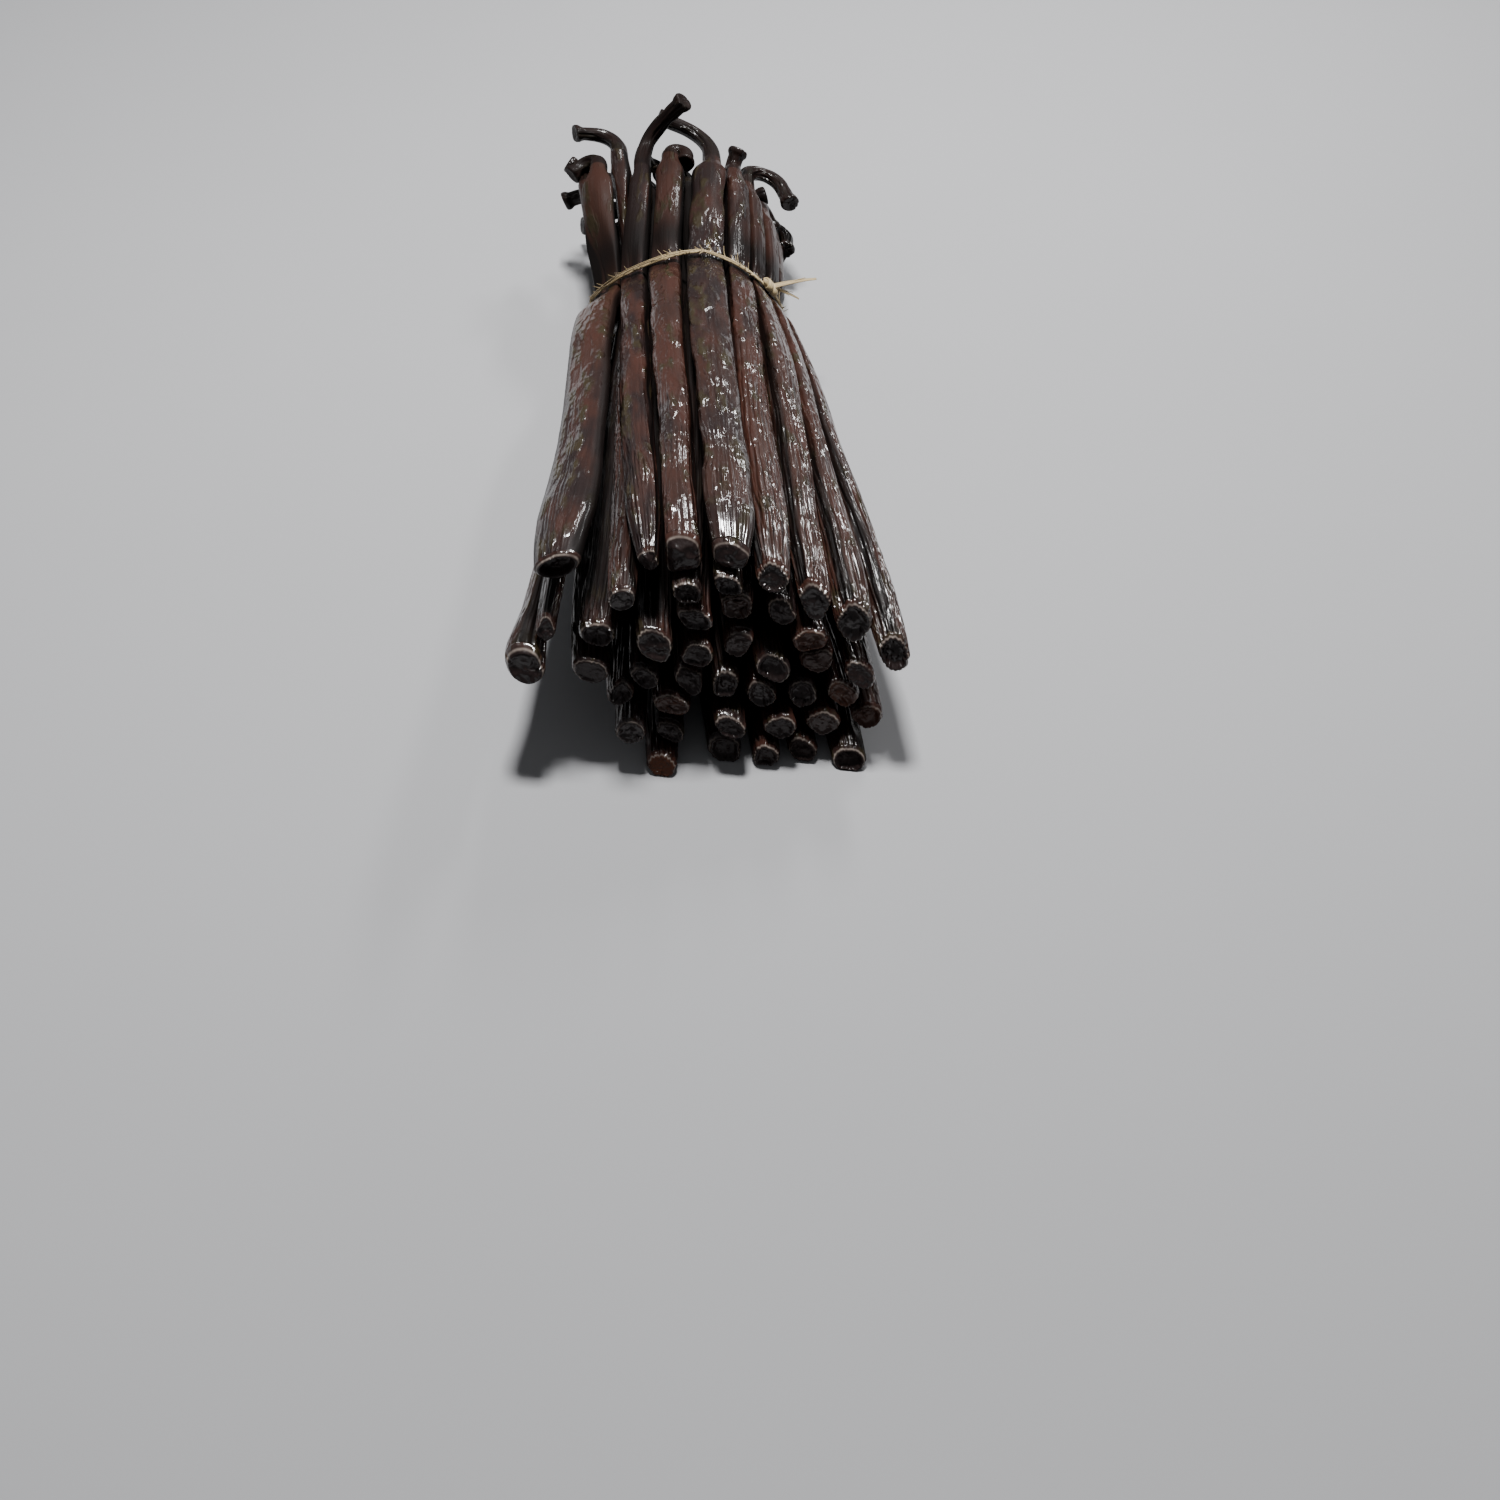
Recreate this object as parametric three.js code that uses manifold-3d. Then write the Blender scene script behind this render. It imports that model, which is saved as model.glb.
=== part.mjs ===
// A bundle of cured vanilla pods, tied with one strand of raffia and lying on a flat surface.
// Millimetres, +Z up. The pods run along Y: their blunt blossom ends fan out at -Y and their
// hooked stem ends are at +Y. The origin is at the middle of the footprint.
import * as THREE from "three";
import { mergeVertices } from "three/addons/utils/BufferGeometryUtils.js";
import Module from "manifold-3d";

const wasm = await Module();
wasm.setup();

// ---- Driving dimensions -------------------------------------------------------------------
// "Station" is the distance along the bundle from the foremost tips. "Across" is X, "up" is Z.
const TIE_AT = 114; // station of the tie
const TIE_LAND = 1.6; // half length of the stretch under the tie where the bundle keeps its waist
const NECK_AT = 147; // station where the stems start to hook, which varies by:
const NECK_SOONER = 5;
const NECK_LATER = 4;
const NECK_LENGTH = 7; // length over which a stem narrows to its hook
const WAIST_ACROSS = -1.5; // the waist's middle
const WAIST_HALF_WIDTH = 19.2;
const WAIST_HALF_HEIGHT = 13.7;
const WAIST_UP = 15.6; // height of the waist's middle, so that the tie clears the ground
const WAIST_SKEW = 0.27; // the waist's top stands this far to the right per mm of height
const WAIST_ROUND = 1.42; // 2 would be an ellipse, less comes to a ridge
const WAIST_BITE = 0.8; // share of a pod's half size that the tie leaves it
const WAIST_WIDENING = 0.5; // room that the pods gain per mm away from the tie
const LEAN = 0.08; // the tie's top sits this much nearer the fan per mm of height
const SLANT = 0.18; // and its right end this much nearer per mm across
const FACE_SLOPE = 0.36; // set-back of a blossom end for each mm that it is higher
const FACE_SCATTER = [-0.8, 2.4]; // and what it varies by
const FACE_MIDDLE = { x: 1, z: 18.5 }; // middle of the fan
const GAP = 0.3; // clearance between neighbouring pods, and from pods to tie
const PRESSED = 0.6; // height of the ground, that the lowest pods and stems are pressed flat on

// The pods that make the top of the bundle, from the left stray to the right edge. For each:
// where its tip is (across, up, set-back), where it passes the tie (across, depth under the tie),
// its stem's end (across, up), its width, and its hook (way it curls and how far it turns, in
// degrees, and length).
const SHOWN_PODS = [
  { tip: [-30.4, 20.9, 6.5], tie: [-19.0, 6], stem: [-21.6, 18.5], width: 6.4, hook: [200, 100, 10] },
  { tip: [-27.0, 26.6, 10], tie: [-19.0, 1.6], stem: [-22.0, 23.2], width: 5.8, hook: [150, 70, 8] },
  { tip: [-24.2, 37.4, 14.6], tie: [-17.2, 0], stem: [-19.0, 27.4], width: 10.2, hook: [205, 130, 11] },
  { tip: [-13.9, 33.2, 9.6], tie: [-15.2, 1.6], stem: [-14.4, 27.0], width: 7.2, hook: [168, 110, 15] },
  { tip: [-8.8, 37.6, 14.4], tie: [-12.0, 0], stem: [-9.6, 28.2], width: 7.6, hook: [50, 96, 23] },
  { tip: [-4.0, 38.2, 14], tie: [-5.2, 0], stem: [-3.7, 28.6], width: 8.8, hook: [0, 185, 10] },
  { tip: [3.6, 38.2, 14], tie: [2.8, 0], stem: [5.0, 28.2], width: 10.6, hook: [160, 86, 19] },
  { tip: [10.5, 33.8, 12.7], tie: [9.2, 0], stem: [9.6, 26.0], width: 9.2, hook: [60, 45, 7] },
  { tip: [18.0, 29.4, 10.8], tie: [12.6, 0], stem: [12.4, 22.4], width: 9.2, hook: [-14, 165, 22] },
  { tip: [24.6, 26.0, 9.5], tie: [15.0, 0], stem: [15.4, 18.2], width: 9.2, hook: [-60, 120, 9] },
  { tip: [31.2, 20.8, 7], tie: [16.6, 0], stem: [17.6, 12.0], width: 7.8, hook: [-28, 190, 13] },
];
// What sets some of them apart: end, the blossom end's width and thickness over the body's; lie,
// the tilt of its broad side in degrees; bulge, how much sooner it reaches its full spread; bend,
// how far it swings to the right on its way; flare, how much wider it gets towards its tip;
// stray, it lies clear of the core near the fan.
Object.assign(SHOWN_PODS[0], { flare: 1.3, end: [0.8, 0.85], stray: true });
Object.assign(SHOWN_PODS[1], { flare: 1.1, stray: true });
Object.assign(SHOWN_PODS[2], { flare: 1.25, end: [0.74, 0.62], lie: 26, bulge: 0.22, bend: 1.8 });
SHOWN_PODS[2].stray = true;
Object.assign(SHOWN_PODS[4], { flare: 1.22, end: [0.56, 0.66] });
Object.assign(SHOWN_PODS[5], { flare: 0.88 });
Object.assign(SHOWN_PODS[6], { end: [0.66, 0.74] });
Object.assign(SHOWN_PODS[10], { stray: true });
// The rest fill the fan under them: [across, up] of each tip, from the top down.
const FACE_PODS = [
  [-3.4, 31.5], [3.7, 32.2], [11.5, 27.1], [5.1, 27.9], [-1.1, 26.5],
  [-19.1, 24.1], [-8.9, 23.4], [15.9, 21.9], [4.4, 21.5], [-0.9, 20.5], [10.8, 19.2],
  [-19.9, 18.2], [-10.9, 17.5], [18.3, 17.5], [-1.5, 16.6], [25.0, 16.4],
  [3.2, 14.3], [-15.2, 13.3], [23.0, 12.1], [15.8, 11.7], [7.1, 11.5], [-6.2, 11.2],
  [-13.7, 8.8], [3.7, 8.1], [10.8, 7.8], [25.4, 7.5], [-7.5, 5.8], [17.5, 5.1],
  [4.5, 4.4], [10.6, 4.2], [-8.3, 1.9], [22.8, 1.2], [14.9, -0.6],
];
const SQUEEZE = { across: 0.56, up: 0.62 }; // a place at the tie over the place in the fan

const BODY_WIDTH = 7.6; // an ordinary pod's width along its body
const BODY_VARIES = [0.86, 1.1];
const FLATNESS = 0.8; // thickness over width along the body
const FLATNESS_VARIES = [0.9, 1.08];
const WIDE_FROM = 10; // a pod wider than this is split or flattened, so it is thinner by:
const WIDE_THINNER = 0.75;
const WAIST_WIDTH = 5.1; // an ordinary pod's width where the tie squeezes it
const TOP_THICKNESS = 5.2; // thickness under the tie of a pod of the table
const TOP_DEPTH = 2.2; // how deep its middle lies there
const STEM_WIDTH = 5.0; // an ordinary pod's width between the tie and its hook
const STEM_SPREAD = 1.1; // how much wider than the waist the stems stand
const STEM_RISE = 1.06; // how much higher,
const STEM_DROP = 2.6; // less this
const STEM_SHARE = { across: 0.44, up: 0.36 }; // a shown stem's half sizes over its pod's width
const STEM_ROUNDNESS = 0.9; // an ordinary stem's thickness over its width
const STEM_JITTER = { across: 1.2, up: 0.8 };
const NECK_RADIUS = 2.0; // a stem just before its hook
const STUB_RADIUS = 1.65; // the hook itself
const SCAR_RADIUS = 2.1; // the small disc at the very end of a stem
const TIP_END = [0.86, 0.86]; // a blossom end's width and thickness over the body's
const TIP_TAPER = 14; // length over which it narrows
const TIP_EDGE = 0.9; // length of its rounded edge
const TIP_FACE = 0.78; // the cut's width over that behind the edge
const TIP_SLANT = [0.2, 0.75]; // how far its cut leans back per mm of height
const FLARE_FROM = 0.5; // share of the way to its tip from which a pod flares
const SWING_MOST = 0.6; // share of the way at which its swing is widest
const WANDER = [0.2, 1.0]; // how far a pod strays from its smooth course
const WANDER_TURN = { across: 0.03, up: 0.04 }; // how quickly that goes round, in radians per mm
const EARLY = { across: 0.08, up: 0.22, within: 0.1 }; // how a pod moves out sooner past the tie
const FULL_SIZE_AT = { fan: 0.3, stem: 0.6 }; // share of the way at which it has its whole width
const FADE_AHEAD = 8; // length ahead of a tip over which neighbours begin to give way

const CORE_FROM = 36; // the solid core's two ends
const CORE_TO = 139;
const CORE_STATIONS = [CORE_FROM, 54, 76, 98, TIE_AT - TIE_LAND, TIE_AT + TIE_LAND, CORE_TO];
const CORE_SIDES = 12;
const CORE_INSET = 0.8; // how far the core stays inside the outermost pods' middles
const CORE_CLEARANCE = 1; // and above the ground
const CORE_COVER = 1.4; // pods less deep in the core than this are modelled at full length
const STRAYS_JOIN_AT = 70; // station from which the stray pods lie against the core
const BODY_STATIONS = [38, 66, 94, TIE_AT - TIE_LAND, TIE_AT + TIE_LAND, 127];
const SHOWN_SIDES = 8; // sides of the pods of the table
const OTHER_SIDES = 6; // and of the rest

const HOOK_TRIES = 7; // ways to curl that a hook tries
const HOOK_SWING = 75; // degrees either side of straight outwards
const HOOK_TURN = [60, 150];
const HOOK_LENGTH = [9, 15];
const HOOK_CEILING = 27; // height that the rows' hooks stay under
const HOOKS_OUT_FROM = 7; // height of the place that they curl away from

const STRAND_WIDTH = 1.9; // the raffia strand
const STRAND_THICKNESS = 0.8;
const STRAND_STEPS = 44; // pieces round the waist
const KNOT_ANGLE = 27; // degrees round the waist from +X
const KNOT_LENGTH = 4.2;
const KNOT_WIDTH = 3.2;
const KNOT_THICKNESS = 2.1;
const KNOT_OUT = 0.75; // how far the knot's middle stands outside the strand's
const TAILS = [
  { length: 9.5, turn: 16, rise: 14, width: 1.5 },
  { length: 5.5, turn: -8, rise: -12, width: 1.3 },
];
const TAIL_THICKNESS = 0.75;
const TAIL_SAG = 1.2;

const BLEND = 9; // how sharply the flats between neighbouring pods meet: higher is sharper
const NEIGHBOUR_WITHIN = 16; // pods further apart than this never touch
const FAN_ROUNDS = 8; // rounds of pushing pods apart where their tips lie
const TIE_ROUNDS = 300; // at the tie
const STEM_ROUNDS = 60; // and at their stems
const PUSH = 0.25; // share of an overlap by which each of two pods yields in a round
const LOWEST = 0.9; // height of a middle over its half thickness, for a pod on the ground
const LEAST_ROOM = 0.4; // a pod is never squeezed thinner than this
const SEED = 20;

// ---- Small helpers ------------------------------------------------------------------------
const clamp = (v, low, high) => Math.min(high, Math.max(low, v));
const mix = (a, b, t) => a + (b - a) * t;
const smooth = (t) => t * t * (3 - 2 * t);
const radians = (degrees) => (degrees * Math.PI) / 180;

// Random numbers from 0 to 1, the same each run: a linear congruential generator.
let randomState = SEED;
function random() {
  randomState = (Math.imul(randomState, 1664525) + 1013904223) >>> 0;
  return randomState / 4294967296;
}
const between = (low, high) => mix(low, high, random());

// How far an ellipse with half sizes a, b, turned by angle, reaches along the direction (x, z).
function reach(a, b, angle, x, z) {
  const c = Math.cos(angle);
  const s = Math.sin(angle);
  return Math.hypot(a * (x * c + z * s), b * (z * c - x * s));
}

// ---- The waist ------------------------------------------------------------------------------
// The outline that the tie gives the bundle is the rounded diamond
// |x / half width| ^ n + |z / half height| ^ n = 1, n being WAIST_ROUND, skewed to the right.
// It is held here as its furthest reach in each of a ring of directions.
const WAIST_DIRECTIONS = Array.from({ length: 48 }, (_, k) => {
  const x = Math.cos((k * 2 * Math.PI) / 48);
  const z = Math.sin((k * 2 * Math.PI) / 48);
  const dual = WAIST_ROUND / (WAIST_ROUND - 1);
  const wide = Math.abs(WAIST_HALF_WIDTH * x) ** dual;
  const high = Math.abs(WAIST_HALF_HEIGHT * (z + WAIST_SKEW * x)) ** dual;
  return { x, z, reach: x * WAIST_ACROSS + z * WAIST_UP + (wide + high) ** (1 / dual) };
});

// The waist widens away from the tie, so far from it the bundle is free.
const widening = (station) => WAIST_WIDENING * Math.max(0, Math.abs(station - TIE_AT) - TIE_LAND);

// A point of the waist's outline, moved out square to it.
function waistPoint(angle, out) {
  const c = Math.cos(angle);
  const s = Math.sin(angle);
  const x = WAIST_HALF_WIDTH * Math.sign(c) * Math.abs(c) ** (2 / WAIST_ROUND);
  const z = WAIST_HALF_HEIGHT * Math.sign(s) * Math.abs(s) ** (2 / WAIST_ROUND);
  const power = (2 / WAIST_ROUND) * (WAIST_ROUND - 1);
  const squareX = (Math.sign(c) * Math.abs(c) ** power) / WAIST_HALF_WIDTH;
  const squareZ = (Math.sign(s) * Math.abs(s) ** power) / WAIST_HALF_HEIGHT - WAIST_SKEW * squareX;
  const square = new THREE.Vector3(squareX, 0, squareZ).normalize();
  const across = WAIST_ACROSS + x + WAIST_SKEW * z;
  return new THREE.Vector3(across, TIE_AT, WAIST_UP + z).addScaledVector(square, out);
}

// Height of the waist's top at a place across.
function waistTop(across) {
  let [low, high] = [0, Math.PI];
  for (let k = 0; k < 30; k++) {
    const angle = (low + high) / 2;
    if (waistPoint(angle, 0).x > across) low = angle;
    else high = angle;
  }
  return waistPoint(low, 0).z;
}

// ---- Where the pods lie ---------------------------------------------------------------------
// The direction from the middle of the fan to a place in it.
const outwards = ({ x, z }) => Math.atan2(z - FACE_MIDDLE.z, x - FACE_MIDDLE.x);

// Each pod holds its middle and half sizes at the fan, at the tie and at its stem.
function shownPod({ tip, tie, stem, width, hook, lie, ...rest }) {
  const defaults = { end: TIP_END, bulge: 0, bend: 0, flare: 1, stray: false };
  return {
    shown: true,
    under: tie[1] > 0,
    ...defaults,
    ...rest,
    lie: lie === undefined ? outwards({ x: tip[0], z: tip[1] }) - Math.PI / 2 : radians(lie),
    width,
    fan: { x: tip[0], z: tip[1] },
    setBack: tip[2],
    tie: { x: tie[0], z: waistTop(tie[0]) - TOP_DEPTH - tie[1] },
    stem: { x: stem[0], z: stem[1] },
    hook: { curl: radians(hook[0]), turn: radians(hook[1]), length: hook[2] },
  };
}

function facePod([x, z]) {
  return {
    shown: false,
    bulge: 0,
    bend: 0,
    flare: 1,
    end: TIP_END,
    fan: { x, z },
    setBack: FACE_SLOPE * z + between(...FACE_SCATTER),
    width: BODY_WIDTH * between(...BODY_VARIES),
    tie: {
      x: WAIST_ACROSS + (x - FACE_MIDDLE.x) * SQUEEZE.across,
      z: WAIST_UP + (z - FACE_MIDDLE.z) * SQUEEZE.up,
    },
  };
}

// The rest of what the random numbers decide for a pod.
function shapePod(pod) {
  const flat = FLATNESS * between(...FLATNESS_VARIES) * (pod.width > WIDE_FROM ? WIDE_THINNER : 1);
  const angle = pod.shown ? pod.lie : between(-0.7, 0.7);
  const squeezed = pod.shown && !pod.under ? pod.width / 2 : WAIST_WIDTH / 2;
  Object.assign(pod.fan, { a: (pod.width / 2) * pod.flare, b: (pod.width / 2) * flat, angle });
  Object.assign(pod.tie, { a: squeezed, b: pod.shown ? TOP_THICKNESS / 2 : squeezed * FLATNESS, angle });
  pod.neckAt = NECK_AT + between(-NECK_SOONER, NECK_LATER);
  pod.slant = between(...TIP_SLANT);
  pod.phase = between(0, 2 * Math.PI);
  pod.wander = between(...WANDER);
}

function shapeStem(pod) {
  if (!pod.shown) {
    const x = pod.tie.x * STEM_SPREAD + between(-STEM_JITTER.across, STEM_JITTER.across);
    const z = pod.tie.z * STEM_RISE - STEM_DROP + between(-STEM_JITTER.up, STEM_JITTER.up);
    pod.stem = { x, z };
  }
  const a = pod.shown ? STEM_SHARE.across * pod.width : STEM_WIDTH / 2;
  const b = pod.shown ? STEM_SHARE.up * pod.width : STEM_ROUNDNESS * a;
  Object.assign(pod.stem, { a, b, angle: pod.tie.angle });
}

function stayInWaist(p) {
  for (const side of WAIST_DIRECTIONS) {
    const out = p.x * side.x + p.z * side.z + WAIST_BITE * reach(p.a, p.b, p.angle, side.x, side.z);
    const over = Math.max(0, out - side.reach);
    p.x -= over * side.x;
    p.z -= over * side.z;
  }
}

function stayAboveGround(p) {
  p.z = Math.max(p.z, LOWEST * p.b);
}

function makePods() {
  const pods = [...SHOWN_PODS.map(shownPod), ...FACE_PODS.map(facePod)];
  pods.forEach(shapePod);
  spread(pods, "fan", FAN_ROUNDS, stayAboveGround);
  spread(pods, "tie", TIE_ROUNDS, stayInWaist);
  pods.forEach(shapeStem);
  spread(pods, "stem", STEM_ROUNDS, stayAboveGround);
  return pods;
}

// Pushes pods that overlap at one place apart, half each, and keeps them in with hold(). Pods of
// the table keep their places, but for those that run under others at the tie.
function spread(pods, place, rounds, hold) {
  const free = (pod) => !pod.shown || (place === "tie" && pod.under);
  for (let round = 0; round < rounds; round++) {
    const move = pods.map(() => [0, 0]);
    for (let i = 0; i < pods.length; i++) {
      for (let j = i + 1; j < pods.length; j++) {
        const p = pods[i][place];
        const q = pods[j][place];
        const dx = q.x - p.x;
        const dz = q.z - p.z;
        const apart = Math.hypot(dx, dz) + 1e-9;
        const x = dx / apart;
        const z = dz / apart;
        const overlap = reach(p.a, p.b, p.angle, x, z) + reach(q.a, q.b, q.angle, x, z) - apart;
        if (overlap > 0) {
          move[i][0] -= PUSH * overlap * x;
          move[i][1] -= PUSH * overlap * z;
          move[j][0] += PUSH * overlap * x;
          move[j][1] += PUSH * overlap * z;
        }
      }
    }
    pods.forEach((pod, i) => {
      if (!free(pod)) return;
      pod[place].x += move[i][0];
      pod[place].z += move[i][1];
      hold(pod[place]);
    });
  }
}

// The pod's middle and half sizes at a station. Coming from the tie it first moves out quicker
// than the straight line to its tip, because the tie bites into the bundle.
function podAt(pod, station) {
  const before = station < TIE_AT;
  const end = before ? pod.fan : pod.stem;
  const span = before ? TIE_AT : NECK_AT - TIE_AT;
  const u = clamp((Math.abs(station - TIE_AT) - TIE_LAND) / (span - TIE_LAND), 0, 1.2);
  const early = (1 - Math.exp(-u / EARLY.within)) * Math.sqrt(Math.max(0, 1 - u));
  const size = smooth(clamp(u / (before ? FULL_SIZE_AT.fan : FULL_SIZE_AT.stem), 0, 1));
  const bow = pod.wander * Math.sin(Math.PI * clamp(u, 0, 1)) * (before ? 1 : 0.2);
  const neck = before ? 0 : smooth(clamp((station - pod.neckAt + NECK_LENGTH) / NECK_LENGTH, 0, 1));
  const flared = smooth(clamp((u - FLARE_FROM) / (1 - FLARE_FROM), 0, 1));
  const wide = before ? end.a * mix(1 / pod.flare, 1, flared) : end.a;
  const rise = smooth(Math.min(1, u / SWING_MOST));
  const fall = smooth(clamp((u - SWING_MOST) / (1 - SWING_MOST), 0, 1));
  const swing = before ? pod.bend * rise * (1 - fall) : 0;
  const across = mix(pod.tie.x, end.x, u + (EARLY.across + pod.bulge) * early) + swing;
  const up = mix(pod.tie.z, end.z, u + EARLY.up * early);
  return {
    x: across + bow * Math.cos(pod.phase + WANDER_TURN.across * station),
    z: up + 0.6 * bow * Math.sin(pod.phase + WANDER_TURN.up * station),
    a: mix(mix(pod.tie.a, wide, size), NECK_RADIUS, neck),
    b: mix(mix(pod.tie.b, end.b, size), NECK_RADIUS, neck),
    angle: mix(pod.tie.angle, end.angle, smooth(clamp(u, 0, 1))),
  };
}

// The station at which a pod's tip lies, from its set-back and the shear of the whole bundle.
const shear = (x, z) => LEAN * (z - WAIST_UP) + SLANT * x;
const tipAt = (pod) => pod.setBack + shear(pod.fan.x, pod.fan.z);

// How much of a pod is there at a station: it fades in ahead of its tip, so that its neighbours'
// flats against it do too.
const presence = (pod, station) => clamp((station - tipAt(pod)) / FADE_AHEAD + 1, 0, 1);

// The pod's radius in a direction at a station: its own ellipse, cut by the lines half way to its
// neighbours, by the waist and by the ground. The cuts are blended, so corners are round.
function radiusAt(here, index, station, angle) {
  const pod = here[index];
  const cx = Math.cos(angle);
  const cz = Math.sin(angle);
  const c = Math.cos(angle - pod.angle) / pod.a;
  const s = Math.sin(angle - pod.angle) / pod.b;
  let sum = Math.hypot(c, s) ** BLEND;
  here.forEach((other, j) => {
    const dx = other.x - pod.x;
    const dz = other.z - pod.z;
    const apart = Math.hypot(dx, dz);
    if (j === index || apart > NEIGHBOUR_WITHIN) return;
    const x = dx / apart;
    const z = dz / apart;
    const mine = reach(pod.a, pod.b, pod.angle, x, z);
    const theirs = reach(other.a, other.b, other.angle, x, z);
    const line = Math.max(LEAST_ROOM, (apart * mine) / (mine + theirs) - GAP / 2);
    const facing = cx * x + cz * z;
    if (facing > 0.05) sum += ((other.present * facing) / line) ** BLEND;
  });
  let waist = 0;
  for (const side of WAIST_DIRECTIONS) {
    const room = side.reach + widening(station) - pod.x * side.x - pod.z * side.z;
    waist = Math.max(waist, (cx * side.x + cz * side.z) / Math.max(room, LEAST_ROOM));
  }
  const radius = (sum + waist ** BLEND) ** (-1 / BLEND);
  return cz < 0 ? Math.min(radius, pod.z / -cz) : radius;
}

// ---- Solids -----------------------------------------------------------------------------------
// A closed skin over rings of points, all with the same number of points. Open rings get a fan
// at each end; a loop's last ring joins its first.
function loft(rings, loop = false) {
  const sides = rings[0].length;
  const points = rings.flat();
  const faces = [];
  const last = loop ? rings.length : rings.length - 1;
  for (let k = 0; k < last; k++) {
    const next = (k + 1) % rings.length;
    for (let i = 0; i < sides; i++) {
      const j = (i + 1) % sides;
      const [a, b, c, d] = [k * sides + i, k * sides + j, next * sides + j, next * sides + i];
      faces.push(a, b, c, a, c, d);
    }
  }
  if (!loop) {
    for (const [ring, flip] of [[0, true], [rings.length - 1, false]]) {
      const middle = new THREE.Vector3();
      for (const p of rings[ring]) middle.addScaledVector(p, 1 / sides);
      points.push(middle);
      for (let i = 0; i < sides; i++) {
        const [a, b] = [ring * sides + i, ring * sides + ((i + 1) % sides)];
        faces.push(...(flip ? [points.length - 1, b, a] : [points.length - 1, a, b]));
      }
    }
  }
  const geometry = new THREE.BufferGeometry().setFromPoints(points);
  geometry.setIndex(faces);
  return geometry;
}

// The geometry as a manifold-3d solid, whichever way its faces turned out.
function solid(geometry) {
  const only = new THREE.BufferGeometry();
  only.setAttribute("position", geometry.getAttribute("position"));
  only.setIndex(geometry.getIndex());
  const merged = mergeVertices(only, 1e-4);
  const triVerts = new Uint32Array(merged.index.array);
  const vertProperties = merged.attributes.position.array;
  const made = new wasm.Manifold(new wasm.Mesh({ numProp: 3, vertProperties, triVerts }));
  if (made.volume() > 0) return made;
  return new wasm.Manifold(new wasm.Mesh({ numProp: 3, vertProperties, triVerts: triVerts.reverse() }));
}

function geometryOf(manifold) {
  const mesh = manifold.getMesh();
  const geometry = new THREE.BufferGeometry();
  geometry.setAttribute("position", new THREE.BufferAttribute(new Float32Array(mesh.vertProperties), 3));
  geometry.setIndex(new THREE.BufferAttribute(new Uint32Array(mesh.triVerts), 1));
  return geometry;
}

// Every point slides towards the fan by the shear.
const lean = (p) => new THREE.Vector3(p.x, p.y - shear(p.x, p.z), p.z);

// Rings of a pod's body over a list of stations. scale narrows a ring in width and thickness, as
// at a tip, and slant lays it back, as the cut of a tip is. Away from the tie the corners stand
// out as far as the sides fall short of the true section.
function bodyRings(pods, index, stations, sides) {
  return stations.map(({ at, scale = [1, 1], slant = 0 }) => {
    const here = pods.map((pod) => ({ ...podAt(pod, at), present: presence(pod, at) }));
    const { x, z, angle: lie } = here[index];
    const fuller = widening(at) > 0 ? (1 + 1 / Math.cos(Math.PI / sides)) / 2 : 1;
    const ring = [];
    for (let k = 0; k < sides; k++) {
      const angle = ((k + 0.5) * 2 * Math.PI) / sides - Math.PI / 2;
      const r = fuller * radiusAt(here, index, at, angle);
      const across = scale[0] * r * Math.cos(angle - lie);
      const thick = scale[1] * r * Math.sin(angle - lie);
      const right = across * Math.cos(lie) - thick * Math.sin(lie);
      const up = Math.max(across * Math.sin(lie) + thick * Math.cos(lie), -z);
      ring.push(lean(new THREE.Vector3(x + right, at + slant * up, z + up)));
    }
    return ring;
  });
}

// The hook's middle line: it runs on along Y for a little, turns towards its curl and runs out
// straight.
const turned = (t) => smooth(clamp((t - 0.1) / 0.72, 0, 1));
function hookLine(pod, hook, steps) {
  const { x, z } = podAt(pod, pod.neckAt);
  const point = new THREE.Vector3(x, pod.neckAt, z);
  const curl = new THREE.Vector3(Math.cos(hook.curl), 0, Math.sin(hook.curl));
  const line = [{ point: point.clone(), turn: 0, curl }];
  for (let k = 1; k <= steps; k++) {
    const turn = hook.turn * turned((k - 0.5) / steps);
    point.y += (hook.length / steps) * Math.cos(turn);
    point.addScaledVector(curl, (hook.length / steps) * Math.sin(turn));
    line.push({ point: point.clone(), turn: hook.turn * turned(k / steps), curl });
  }
  return line;
}

// Rings round the hook: it thins to the stub and ends in the small disc of its scar.
function hookRings(pod, steps, sides) {
  const line = hookLine(pod, pod.hook, steps);
  const forward = new THREE.Vector3(0, 1, 0);
  const side = new THREE.Vector3().crossVectors(forward, line[0].curl);
  const start = Math.atan2(side.z, side.x);
  return line.slice(1).map(({ point, turn, curl }, k) => {
    const t = (k + 1) / steps;
    const inward = curl.clone().multiplyScalar(Math.cos(turn)).addScaledVector(forward, -Math.sin(turn));
    const radius = k === steps - 1 ? SCAR_RADIUS : mix(NECK_RADIUS, STUB_RADIUS, Math.min(1, 2 * t));
    const ring = [];
    for (let i = 0; i < sides; i++) {
      const angle = ((i + 0.5) * 2 * Math.PI) / sides - Math.PI / 2 - start;
      const out = side.clone().multiplyScalar(Math.cos(angle));
      out.addScaledVector(inward, Math.sin(angle));
      ring.push(lean(point.clone().addScaledVector(out, radius)));
    }
    return ring;
  });
}

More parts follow.
